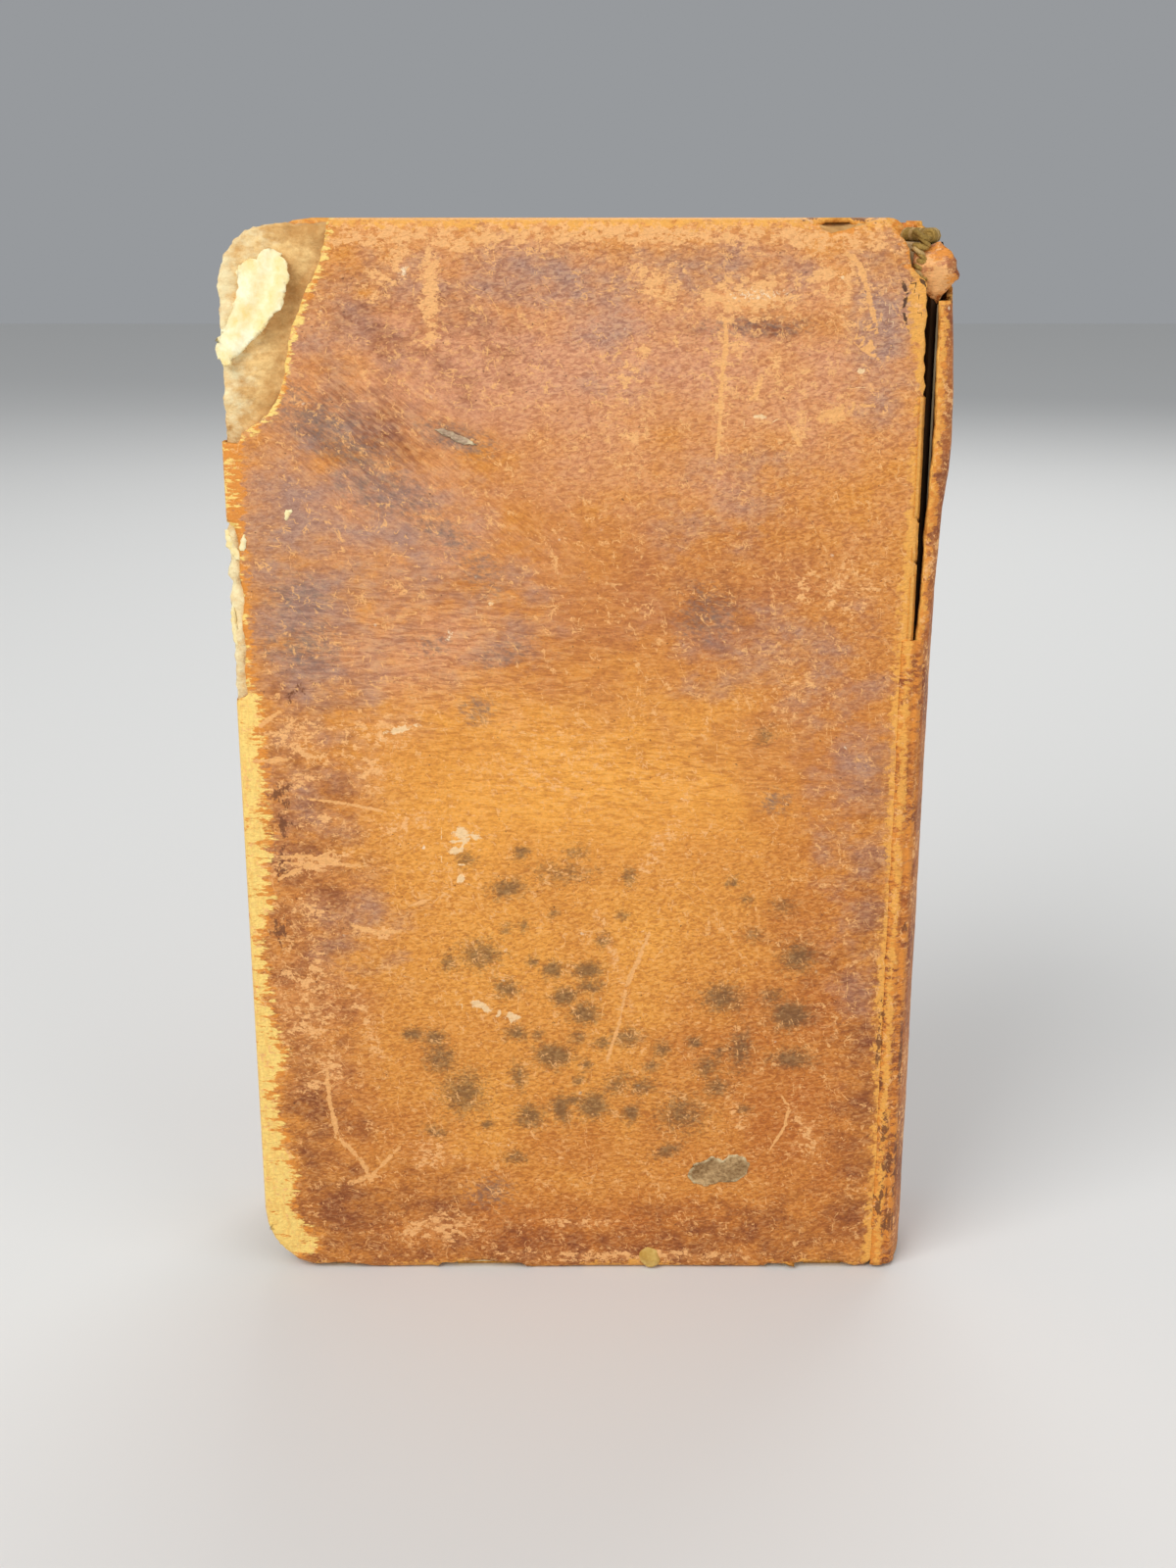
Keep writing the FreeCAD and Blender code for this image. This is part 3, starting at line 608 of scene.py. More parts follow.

# %% [markdown]
# The masks below say where each layer of the skin's history lies on the rear cover, and where a
# sheen is painted into its colour. They are worked out at every vertex of the mesh, and the material
# reads them by name.

# %% Wear and stains of the rear cover
PATCHES = {
    # centre X and Z, half sizes, turn, strength
    "gold": ((0, 91, 26, 13, 0, 1.0), (-22, 84, 15, 16, 0, 0.9), (-18, 60, 18, 12, 0, 0.75),
             (10, 62, 14, 16, 0, 0.7), (-16, 34, 16, 14, 0, 0.55), (-24, 100, 12, 6, 0, 0.5),
             (2, 42, 14, 10, 0, 0.45), (2, 27, 13, 6, 0, 0.40)),
    "amber": ((36, 38, 14, 28, 0, 0.78), (14, 26, 22, 10, 0, 0.42), (-30, 22, 14, 12, 0, 0.35),
              (42, 84, 10, 20, 0, 0.45), (0, 8, 50, 7, 0, 0.7), (26, 46, 8, 18, 0, 0.35)),
    "russet": ((14, 120, 30, 13, 0, 0.80), (36, 104, 14, 16, 0, 0.5), (-18, 156, 10, 12, 30, 0.45),
               (-8, 134, 12, 10, 0, 0.35), (-48, 60, 10, 30, 0, 0.5)),
    "rosy": ((2, 158, 50, 13, 0, 1.0), (8, 142, 32, 8, 0, 0.6), (-30, 134, 20, 10, 0, 0.55),
             (-26, 114, 16, 10, 0, 0.55), (42, 146, 10, 12, 0, 0.4)),
    # painted sheen: mauve patches standing in for gloss reflected off the skin
    "painted_sheen": ((-46, 124, 11, 24, 0, 0.85), (-36, 142, 11, 9, 30, 0.6), (-10, 170, 22, 5, 0, 0.6),
             (18, 171, 18, 4, 0, 0.55), (45, 164, 5, 12, 0, 0.75), (-24, 126, 14, 6, -12, 0.5),
             (-14, 114, 8, 5, 20, 0.45), (44, 92, 6, 18, 0, 0.5), (46, 66, 4, 18, 0, 0.5),
             (22, 136, 10, 6, 30, 0.35), (-47, 88, 7, 8, 0, 0.6), (-38, 64, 8, 7, 0, 0.35),
             (2, 160, 8, 8, 0, 0.25), (-34, 132, 13, 9, 0, 0.72), (-38, 160, 8, 8, 0, 0.4),
             (0, 171, 14, 4, 0, 0.5), (30, 112, 18, 8, 0, 0.35)),
    "brown": ((-46, 74, 7, 28, 0, 0.42), (-47, 29, 6, 13, 0, 0.70), (-44, 12, 9, 7, 0, 0.85),
              (-30, 12, 10, 6, 0, 0.5), (2, 3.5, 50, 5, 0, 0.75), (28, 7, 20, 5, 0, 0.6),
              (47, 40, 4, 40, 0, 0.55), (-33, 162, 7, 6, 0, 0.42), (-19, 161, 8, 8, 40, 0.30),
              (-33, 148, 8, 6, -20, 0.42), (45, 10, 5, 8, 0, 0.6), (20, 119, 5, 5, 0, 0.42),
              (38, 58, 8, 10, 0, 0.20), (26, 162.8, 7, 1.6, 0, 0.6)),
    "smudge": ((-42, 149, 6.6, 2.6, -24, 0.80), (-37, 144.5, 5, 2.2, -24, 0.75), (-32, 138, 5.5, 2.4, -14, 0.60),
               (-22, 131, 6, 1.6, -35, 0.6), (-17, 125.8, 2.0, 3.6, 30, 0.55), (-45.8, 113.5, 4.2, 3.4, 0, 0.62),
               (-46, 121, 3.6, 2.6, 0, 0.5), (-25, 113.2, 2.1, 1.3, 0, 0.5), (-13, 112, 4, 1.4, 24, 0.5),
               (18.6, 118.5, 3.2, 3.2, 0, 0.6), (30.7, 87.1, 1.8, 1.5, 0, 0.75), (-17.8, 102.5, 2.0, 1.6, 0, 0.75),
               (-17.2, 15.2, 3.0, 2.4, 0, 0.68), (25.5, 163, 6, 1.2, 0, 0.5),
               (-20.4, 146.1, 4.2, 1.3, -18, 1.1)),
    "mildew": ((-20.3, 76.9, 1.5, 1.0, 0, 0.9), (-11, 78.2, 1.3, 1.0, 0, 0.9), (-2, 78.2, 1.8, 1.2, 0, 0.6),
               (6.8, 73.9, 1.0, 1.4, 0, 0.9), (-4, 74.6, 5, 1.6, 0, 0.5), (-13.5, 71.8, 2.6, 1.5, 0, 0.9),
               (24.1, 73.1, 0.9, 0.8, 0, 1.0), (2.6, 62.6, 1.2, 1.3, 0, 0.8), (35.3, 59.5, 2.6, 2.4, 0, 0.9),
               (-18, 60, 3.2, 2.4, 0, 0.8), (-5.9, 57.4, 1.7, 1.4, 0, 1.0), (-0.1, 57.1, 2.3, 1.4, 0, 1.1),
               (-4, 52.4, 1.7, 1.5, 0, 1.2), (-0.6, 49.2, 2.1, 1.8, 0, 1.1), (-13.7, 53.7, 2.0, 1.6, 0, 0.9),
               (0.4, 54.2, 2.2, 1.2, 0, 0.8), (22.8, 52.1, 3.3, 2.2, 0, 0.9), (34.4, 48.9, 2.8, 2.0, 0, 1.2),
               (31.1, 52.6, 2.0, 1.2, 0, 0.7), (-29.8, 45.5, 1.7, 1.0, 0, 1.0), (-26.1, 44.7, 1.7, 1.2, 0, 1.0),
               (-12.3, 45.7, 1.7, 1.2, 0, 1.0), (-6, 41.4, 2.8, 1.9, 0, 1.2), (2.4, 43.8, 1.2, 1.0, 0, 1.0),
               (6.8, 44.7, 2.2, 1.4, 0, 0.9), (-2, 44.9, 1.2, 1.0, 0, 0.8), (26, 42.5, 1.8, 3.6, 0, 0.8),
               (34.9, 40.9, 3.4, 1.6, 0, 0.9), (12.7, 42.5, 1.4, 1.4, 0, 0.8), (-25.2, 40.9, 2.4, 2.4, 0, 0.8),
               (-21.4, 34.4, 3.6, 3.8, 0, 0.8), (-11.9, 37.6, 1.4, 2.6, 0, 0.7), (-10, 30, 2.4, 2.1, 0, 0.9),
               (-4.6, 31.1, 1.2, 2.4, 20, 1.1), (-2.6, 33, 2.0, 0.9, 0, 1.0), (0.9, 31.9, 2.2, 2.2, 0, 1.1),
               (7.4, 30.5, 1.5, 1.5, 0, 1.0), (9.3, 35.5, 2.0, 1.4, 0, 0.8), (5, 36, 1.8, 2.6, -40, 0.7),
               (16.3, 30.5, 4.0, 3.2, 0, 0.7), (22.2, 35.5, 2.0, 1.4, 0, 0.8), (-17.5, 28.3, 0.9, 0.7, 0, 1.1),
               (-26.5, 27, 2.0, 0.9, -20, 0.8), (-12.6, 21.9, 2.0, 1.1, 0, 0.8), (13.9, 23.3, 2.4, 1.0, 20, 0.9),
               (20.6, 39.3, 2.0, 1.8, 0, 0.7), (27, 31.4, 1.3, 0.7, 0, 0.9), (-9.4, 58.6, 0.9, 0.8, 0, 0.9),
               (-13.6, 64.7, 0.9, 0.9, 0, 0.8), (-10.9, 65.2, 0.8, 0.9, 0, 0.8), (-5.8, 67.4, 0.7, 0.7, 0, 0.9),
               (5.8, 67, 1.0, 0.8, 0, 0.7), (26.6, 70, 0.9, 0.8, 0, 0.8), (32.6, 68.6, 2.0, 1.6, 0, 0.5),
               (27.8, 63.6, 1.6, 1.2, 0, 0.6), (-23.6, 58.8, 1.4, 1.4, 0, 0.7), (-8.7, 45.3, 1.0, 0.9, 0, 0.9),
               (-0.2, 39.6, 0.9, 0.8, 0, 1.0), (-1.6, 36.8, 0.9, 0.8, 0, 1.0), (11, 39.5, 1.4, 1.0, 0, 0.7),
               (18.3, 43.8, 1.2, 1.0, 0, 0.9), (22.4, 42.2, 1.1, 0.9, 0, 0.9), (28.7, 98.4, 1.6, 1.7, 0, 0.6)),
    "remains": ((50.1, 44.5, 0.45, 6.4, 0, 0.75), (53.9, 41.5, 0.6, 4.6, 0, 0.9), (51.4, 27.5, 0.8, 3.2, 0, 0.8),
                (52.3, 20.3, 1.0, 2.4, 0, 0.9), (51.3, 13.2, 0.9, 2.4, 0, 0.9), (52.8, 8.7, 1.2, 1.6, 0, 0.9),
                (54.2, 21, 0.5, 11, 0, 0.9), (53.3, 64.2, 0.8, 1.0, 0, 0.7), (50.4, 36, 0.5, 1.0, 0, 0.8),
                (-47.2, 105.5, 2.6, 0.9, 20, 0.5), (-50.4, 88.4, 1.4, 1.6, 0, 0.8), (-51.5, 64.5, 1.2, 2.2, 0, 0.8),
                (-50.2, 83, 1.0, 2.2, 0, 0.7), (-50.8, 76, 1.0, 2.6, 0, 0.7), (39.2, 178.8, 4.6, 0.55, 0, 1.1)),
    "scuff": ((-24, 168.4, 1.0, 6.6, 0, 1.25), (-28.7, 172.5, 1.7, 1.9, 0, 0.7), (-32.5, 169.3, 2.2, 2.4, 0, 0.5),
              (10.1, 169.2, 3.4, 3.0, 0, 0.68), (23.6, 167.3, 7.3, 2.5, 0, 0.95), (35.9, 170.2, 2.4, 1.9, 0, 0.7),
              (20.6, 154.6, 0.7, 9.7, 0, 0.85), (39.3, 167.5, 0.8, 3.2, 0, 0.8), (34.3, 122.5, 0.6, 1.7, -20, 0.9),
              (39.2, 122.7, 1.4, 0.8, 0, 0.7), (28.6, 158.4, 0.8, 1.7, 0, 0.75), (23.0, 160.1, 1.1, 1.5, 0, 0.75),
              (25.7, 153.5, 0.6, 1.9, -24, 0.9), (32.2, 147.1, 1.6, 1.3, 30, 0.7), (8.5, 159.6, 1.2, 0.8, 0, 0.8),
              (-44.6, 76.3, 5.6, 1.2, 8, 0.85), (-35.9, 64.1, 3.4, 0.8, -8, 0.75), (-35.2, 92.1, 2.6, 2.4, 0, 0.5),
              (-26.3, 8.1, 6.0, 2.2, 0, 0.6), (-45, 39.1, 1.6, 2.0, 0, 0.7), (42, 122, 5.0, 5.0, 0, 0.18),
              (-30, 176.4, 10, 1.6, 0, 0.80), (-18, 175.4, 8, 1.4, 4, 0.75), (4, 176.6, 30, 1.6, 0, 0.8),
              (36, 176.4, 12, 2.0, 0, 0.75), (6, 2.6, 18, 1.0, 0, 0.55), (-2, 9, 9, 0.6, 0, 0.45),
              (30, 156, 13, 9, 0, 0.10), (-26, 160, 9, 8, 0, 0.08), (-48, 50, 4, 10, 0, 0.42),
              (33, 106, 9, 8, 0, 0.12), (40, 168, 4, 6, 0, 0.2), (-47, 98, 5, 2.4, 0, 0.5),
              (6, 150, 3, 8, 0, 0.25), (38, 26, 2, 5, 10, 0.3), (-47, 96, 4, 1.1, -30, 0.6),
              (-48, 90, 4, 1.0, 20, 0.6), (-44, 84, 3, 1.0, 30, 0.5), (-47, 68, 3, 1.6, -30, 0.6),
              (-46, 58, 1.6, 3.0, 20, 0.5), (-48, 47, 3, 1.6, -30, 0.6), (-43.5, 40, 1.0, 2.6, 0, 0.7),
              (-47, 36, 2.5, 0.8, 20, 0.5), (-31, 83, 6, 1.4, 10, 0.4), (-35, 98, 5, 2.4, 20, 0.42),
              (-38, 48, 1.0, 6, 20, 0.4), (12, 80, 8, 1.0, 60, 0.35), (4, 60, 0.5, 12, 18, 0.5),
              (-27, 23, 3.6, 2.2, 0, 0.55), (26, 30, 0.6, 4, 24, 0.5), (-6, 92, 14, 8, 0, 0.10)),
    "pale": ((25.5, 167.6, 4.0, 0.9, 0, 0.45), (-28, 171, 0.5, 0.8, 0, 0.8), (-22.0, 115.0, 0.5, 0.6, 0, 0.8)),
}
SCRATCH, CHIP, DARK = 0.3, 0.6, 1.0
SCRATCHES = (
    # tone, half width in mm, points in X and Z; a scratch cuts through the grain to lighter skin
    (SCRATCH, 0.40, ((38.8, 173.8), (40.7, 172.4), (41.9, 169.7), (42.9, 166.2), (43.8, 163.7))),
    (SCRATCH, 0.34, ((42.8, 161.3), (44.2, 158.4))),
    (SCRATCH, 0.34, ((20.9, 163.7), (21.1, 160.6), (20.8, 157.7), (20.6, 154.9), (20.4, 151.3))),
    (SCRATCH, 0.26, ((20.4, 151.3), (20.4, 147.0), (20.1, 143.7))),
    (SCRATCH, 0.30, ((26.7, 155.2), (25.8, 152.4), (24.5, 152.0))),
    (SCRATCH, 0.28, ((33.4, 144.4), (31.1, 148.0))),
    (SCRATCH, 0.22, ((40.1, 160.9), (44.2, 158.1))),
    (SCRATCH, 0.34, ((10.5, 64.6), (8.4, 58.9), (6.5, 54.2))),
    (SCRATCH, 0.26, ((6.5, 54.2), (5.3, 47.3), (3.1, 39.8))),
    (SCRATCH, 0.22, ((33.4, 33.8), (34.7, 31.6), (34.1, 27.8), (31.9, 23.9))),
    (SCRATCH, 0.42, ((-44.8, 38.0), (-44.5, 32.2), (-43.6, 26.0), (-39.8, 21.8), (-38.1, 18.2), (-41.5, 17.0))),
    (SCRATCH, 0.30, ((-37.5, 18.9), (-32.9, 23.9))),
    (SCRATCH, 0.34, ((-50.8, 77.4), (-46.6, 77.6), (-44.7, 77.1), (-42.0, 78.6))),
    (SCRATCH, 0.34, ((-50.6, 73.9), (-47.3, 75.6), (-44.0, 76.6), (-38.9, 75.9))),
    (SCRATCH, 0.22, ((-45.2, 87.4), (-39.8, 86.7), (-33.5, 85.4))),
    (SCRATCH, 0.28, ((-29.5, 68.9), (-26.0, 70.1))),
    (SCRATCH, 0.36, ((-39.0, 65.2), (-35.5, 63.8), (-32.2, 64.2))),
    (SCRATCH, 0.36, ((-53.6, 94.0), (-49.0, 94.3))),
    (SCRATCH, 0.40, ((-53.2, 100.0), (-50.5, 101.8))),
    (DARK, 0.26, ((47.6, 169.7), (48.4, 167.5), (47.9, 165.5), (48.7, 162.6))),
    (DARK, 0.24, ((50.1, 170.2), (51.2, 168.9), (51.9, 166.6))),
)
CHIPS = (
    # tone, X, Z, half sizes, turn; small places where the surface is knocked off
    (CHIP, -20.5, 81.4, 2.1, 1.0, -8), (CHIP, -22.2, 78.5, 1.0, 0.5, 0),
    (CHIP, -21.1, 73.9, 0.6, 1.2, -20), (CHIP, -18.2, 50.7, 1.8, 0.7, -28),
    (CHIP, -13.0, 48.3, 1.4, 0.8, -25), (SCRATCH, 38.1, 150.0, 1.9, 1.2, 12),
    (SCRATCH, 36.6, 149.2, 1.4, 0.6, 0), (CHIP, 41.9, 156.3, 0.5, 0.45, 0),
    (SCRATCH, 43.2, 151.1, 0.9, 0.35, 0), (CHIP, 38.4, 170.2, 0.4, 0.35, 0),
    (CHIP, 26.8, 149.3, 0.8, 0.35, 0), (CHIP, -30.1, 99.4, 2.0, 0.5, 12),
    (CHIP, -15.5, 120.1, 0.45, 0.4, 0),
)
FORE_RUB = ((0, 0.0), (3.8, 8.8), (6.3, 8.2), (12.6, 4.6), (18.4, 5.6), (26, 4.3), (33.5, 2.2), (41.8, 5.0),
            (44.6, 3.5), (53.6, 2.4), (62.5, 1.6), (68.7, 3.7), (76.5, 3.1), (79.9, 4.6), (86, 3.2), (90.1, 4.1),
            (96.8, 3.2), (102, 3.8), (105, 3.0), (109, 0.6), (179, 0.4))
ORANGE_STRIP = ((0, -2.0), (100, -2.0), (104, 3.4), (120, 3.1), (131, 3.0), (138, 3.3), (146, 3.6), (149, -2.0),
                (179, -2.0))
JOINT_RUB = ((0, 3.4), (6.3, 3.2), (18.4, 2.4), (27.9, 2.3), (55.4, 3.2), (61.7, 2.6), (73, 2.4), (90, 2.7),
             (103, 2.7), (119, 2.4), (129, 2.2), (143, 1.8), (153, 1.1), (163, 2.9), (168, 3.2), (179, 2.5))


def edge_band(x, z, width_by_height, from_x, towards):
    """Signed distance past the boundary of a worn band along an upright edge, in millimetres."""
    heights, widths = zip(*width_by_height)
    return np.interp(z, heights, widths) - (x - from_x) * towards


def mark_frames(p):
    """Where each point lies in the nearest mark's own frame, and that mark's tone; far off, no mark."""
    x, z = p[:, 0], p[:, 2]
    marks = [((x0 + x1) / 2, (z0 + z1) / 2, half_width, math.hypot(x1 - x0, z1 - z0) * 0.62,
              math.atan2(x0 - x1, z1 - z0), shade) for shade, half_width, line in SCRATCHES
             for (x0, z0), (x1, z1) in zip(line, line[1:])]
    marks += [(cx, cz, half_x, half_z, math.radians(turn), shade) for shade, cx, cz, half_x, half_z, turn in CHIPS]
    across, along, tone = np.full(len(x), 9.0), np.full(len(x), 9.0), np.zeros(len(x))
    nearest = np.full(len(x), 2.2)
    for cx, cz, half_x, half_z, turn, shade in marks:
        u = (x - cx) * math.cos(turn) + (z - cz) * math.sin(turn)
        v = (z - cz) * math.cos(turn) - (x - cx) * math.sin(turn)
        gap = np.hypot(np.maximum(np.abs(u) - half_x, 0), np.maximum(np.abs(v) - half_z, 0))
        closer = gap < nearest
        across[closer], along[closer], tone[closer] = (u / half_x)[closer], (v / half_z)[closer], shade
        nearest[closer] = gap[closer]
    return across, along, tone


def rear_masks():
    """The masks of the rear cover's skin, by name, each a function of the places."""
    def rubbed(p):
        x, z = p[:, 0], p[:, 2]
        joint = edge_band(x, z, JOINT_RUB, joint_x, -1)
        head = 0.9 - (head_z - z)
        tail = 0.7 + 0.7 * np.sin(x / 5.0) - z
        return np.clip(0.5 + 0.45 * np.maximum.reduce([joint, head, tail]), 0, 1)

    def orange(p):
        x, z = p[:, 0], p[:, 2]
        strip = np.clip(0.5 + 0.5 * edge_band(x, z, ORANGE_STRIP, fore_x, 1), 0, 1)
        fore = np.clip(0.5 + 0.3 * (edge_band(x, z, FORE_RUB, fore_x, 1) + 0.5), 0, 1) * (z < 108)
        tears = [line_distance(x, z, from_head(torn_corner)[1:-3]),
                 line_distance(x, z, from_joint(head_notch)[1:-1]),
                 line_distance(x, z, from_joint(broken_corner)[1:6])]
        frayed = np.clip(0.85 + 0.5 * wander(p, 2.5, 51) - 0.8 * np.minimum.reduce(tears), 0, 1)
        return np.maximum.reduce([strip, fore, frayed])

    def raw(p):
        fore = np.clip(0.5 + 0.30 * edge_band(p[:, 0], p[:, 2], FORE_RUB, fore_x, 1), 0, 1)
        strip = 0.25 * np.clip(edge_band(p[:, 0], p[:, 2], ORANGE_STRIP, fore_x, 1), 0, 1)
        tears = line_distance(p[:, 0], p[:, 2], from_head(torn_corner)[1:-3])
        return np.maximum.reduce([fore, strip, np.clip(0.80 - 0.6 * tears, 0, 1)])

    def fleck(p):
        return 0.30 * np.clip(np.maximum(raw(p), rubbed(p)) * 2 - 0.8, 0, 1)

    masks = {kind: patches(*rows) for kind, rows in PATCHES.items()}
    masks["mildew"] = lambda p: 1.1 * patches(*PATCHES["mildew"])(p)
    masks["ripple"] = patches((-24, 112, 40, 20, 0, 1.0), (10, 92, 40, 12, 4, 0.9))
    masks["slant"] = patches((-34, 146, 18, 12, -20, 1.0), (-12, 132, 12, 6, -30, 0.7))
    masks.update(rubbed=rubbed, orange=orange, raw=raw, fleck=fleck)
    for number, name in enumerate(("mark_across", "mark_along", "mark_tone")):
        masks[name] = lambda p, number=number: mark_frames(p)[number]
    return masks


# %% [markdown]
# Relief comes next. A skin that has dried on its board is never flat: it cockles in broad shallow
# waves, it has sunk where it was rubbed or cut, and it curls up a little along a tear.

# %% Relief of a skin
def cockle(bm, seed, tears=(), sunk=None):
    """Moves the outer face out and in by tenths of a millimetre."""
    bm.normal_update()
    places = np.array([vert.co for vert in bm.verts])
    height = 0.10 * wander(places, 26, seed, 2) + 0.05 * wander(places, 6, seed + 1, 2)
    height += 0.03 * wander(places, 2.2, seed + 2, 2)
    for tear in tears:
        gap = line_distance(places[:, 0], places[:, 2], tear)
        height += np.clip(1 - gap / 2.4, 0, 1) ** 2 * (0.16 + 0.16 * wander(places, 3.0, seed + 3, 2))
    if sunk is not None:
        height -= sunk(places)
    for vert, lift in zip(bm.verts, height):
        if abs(vert.co.y) > board_outer - 0.5:
            vert.co += vert.normal * float(lift)


# %% Make the rear skin
rear_bm = wrapped_skin((11.0, 4.5, 3.0, 10.0), 0.95, 0.62, ((fore_x, -38), (44, joint_x)),
                       ((0, 3), (144, head_z)))
for outline, over in ((from_head(torn_corner), RIGHT_THROUGH), (from_head(rubbed_fore_edge), RIGHT_THROUGH),
                      (from_joint(head_notch), rub_depth), (from_joint(broken_corner), RIGHT_THROUGH),
                      (rubbed_tail_fore, rub_depth), (rubbed_tail_middle, rub_depth),
                      (rubbed_tail_spine, rub_depth)):
    tear_away(rear_bm, outline, depth_over=over)


def rear_sunk(places):
    """How deep the rear skin is worn, in millimetres."""
    masks = rear_masks()
    gouge = patch_mask(places[:, 0], places[:, 2], ((-20.4, 146.4, 3.3, 0.8, -18, 1.0),))
    return 0.16 * masks["rubbed"](places) + 0.2 * masks["raw"](places) + 0.3 * gouge


cockle(rear_bm, 3, (from_head(torn_corner)[1:-3], from_joint(broken_corner)[1:6]), rear_sunk)
rear_skin = finish_mesh(rear_bm, "rear_skin", [cover_skin_material, flesh_material], rear_masks())
thicken(rear_skin, 0.7, rim_material=1)
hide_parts("rear_leather")
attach(rear_skin, "rear_cover")

# %% [markdown]
# The front skin is the same wrapped sheet, mirrored to the other side of the pages, with gentler
# wear: this side was never torn.

# %% Make the front skin
def front_masks():
    """Plain, even wear for the cover that is handled less, with a faint painted sheen."""
    def rubbed(p):
        x, z = p[:, 0], p[:, 2]
        gaps = np.minimum.reduce([x - fore_x, z, head_z - z, 1.2 * (joint_x - x)])
        return np.clip(1.0 - gaps / (2.0 + 1.2 * wander(p, 9, 41)), 0, 1)

    return {
        "gold": drift(40, 42, 0.45), "amber": drift(34, 43, 0.42), "rosy": drift(44, 44, 0.25),
        # painted sheen, faint and even
        "painted_sheen": drift(30, 45, 0.22), "ripple": drift(60, 46, 0.5),
        "brown": patches((-50, 90, 6, 84, 0, 0.55), (0, 4, 50, 7, 0, 0.7), (0, 175, 50, 5, 0, 0.5),
                         (49, 90, 4, 84, 0, 0.5), (10, 150, 12, 9, 30, 0.4)),
        "smudge": patches((12, 132, 7, 5, 0, 0.6), (-22, 74, 9, 6, 30, 0.5), (26, 60, 5, 4, 0, 0.5)),
        "mildew": patches((0, 60, 34, 28, 0, 0.40)),
        "scuff": patches((-10, 140, 16, 1.6, 12, 0.6), (20, 40, 12, 1.8, -20, 0.6),
                         (-30, 100, 1.4, 14, 10, 0.6), (0, 176, 40, 2.0, 0, 0.6), (-44, 30, 6, 3, 30, 0.6)),
        "orange": lambda p: 0.9 * rubbed(p), "rubbed": lambda p: 0.8 * rubbed(p),
    }


front_bm = wrapped_skin((5.0, 3.0, 3.0, 12.0), 1.15, 1.15, (), ())
cockle(front_bm, 11, (), lambda places: 0.12 * front_masks()["orange"](places))
bmesh.ops.scale(front_bm, vec=(1, -1, 1), verts=front_bm.verts)
bmesh.ops.reverse_faces(front_bm, faces=front_bm.faces)
front_skin = finish_mesh(front_bm, "front_skin", [cover_skin_material, flesh_material], front_masks())
thicken(front_skin, 0.55, rim_material=1)
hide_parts("front_leather")
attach(front_skin, "front_cover")

# %% [markdown]
# The rear board is pasteboard, sheets of waste paper pasted into a plate. At the torn corner it has
# soaked, swollen and lost its top ply, so its face there is lumpy and its edge crumbles. The front
# board is the same plate, whole.

# %% Shape the rear board
board_x = (round(board_low.x, 2), round(board_high.x, 2))
board_z = (round(board_low.z, 2), round(board_high.z, 2))


def board_plate(radii):
    """Pasteboard plate with rounded corners and slightly broken edges."""
    bm, rim = plate(rounded_outline(*board_x, *board_z, radii), board_outer, board_inner)
    bmesh.ops.bevel(bm, geom=rim, offset=0.45, segments=2, profile=0.5, affect="EDGES", material=-1)
    return bm


board_bm = board_plate((10.2, 3.7, 2.2, 9.2))
fine_corner = steps(board_x[0], -36, 0.55, 0.55, ())
cut_across(board_bm, 0, fine_corner + steps(-36, 44, 4, 4, ()) + steps(44, board_x[1], 0.6, 0.6, ()))
fine_head = steps(142, board_z[1], 0.55, 0.55, ())
cut_across(board_bm, 2, steps(board_z[0], 100, 3, 3, ()) + steps(100, 142, 1.2, 1.2, ()) + fine_head)
cut_across(board_bm, 1, [-board_outer + 0.9, -board_outer + 1.7])
torn_board = [(x - 0.5, z - 0.5) for x, z in from_joint(broken_corner)]
tear_away(board_bm, torn_board, ragged=0.5)
tear_away(board_bm, from_joint(head_notch), depth_over=rub_depth, ragged=0.3)
bmesh.ops.holes_fill(board_bm, edges=[edge for edge in board_bm.edges if edge.is_boundary], sides=0)
bmesh.ops.recalc_face_normals(board_bm, faces=board_bm.faces)
board_bm.normal_update()
board_places = np.array([vert.co for vert in board_bm.verts])
corner_shape = from_head(torn_corner)
lumps = 0.46 * wander(board_places, 3.4, 5, 4) + 0.22 * wander(board_places, 1.1, 6, 2)
in_corner = np.array([inside(x, z, corner_shape) for x, z in board_places[:, [0, 2]]])
corner_gap = line_distance(board_places[:, 0], board_places[:, 2], corner_shape[1:-3])
recess = np.where(in_corner, np.clip(corner_gap / 1.2, 0, 1), 0) * 0.35
edge_strip = (board_places[:, 0] < board_x[0] + 2.4) & (board_places[:, 2] > 103) & (board_places[:, 2] < 134)
for vert, lump, deep, torn, strip in zip(board_bm.verts, lumps, recess, in_corner, edge_strip):
    if vert.co.y < -board_outer + 0.6:
        vert.co.y += float(deep)
    if torn:
        vert.co += vert.normal * float(lump)
    elif strip:
        vert.co += vert.normal * (0.35 + 1.6 * float(lump))

# %% Make the front board
front_board_bm = board_plate((4.2, 2.2, 2.2, 11.2))
bmesh.ops.scale(front_board_bm, vec=(1, -1, 1), verts=front_board_bm.verts)
bmesh.ops.recalc_face_normals(front_board_bm, faces=front_board_bm.faces)
front_board = finish_mesh(front_board_bm, "front_pasteboard", [pulp_material])
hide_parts("front_board")
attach(front_board, "front_cover")

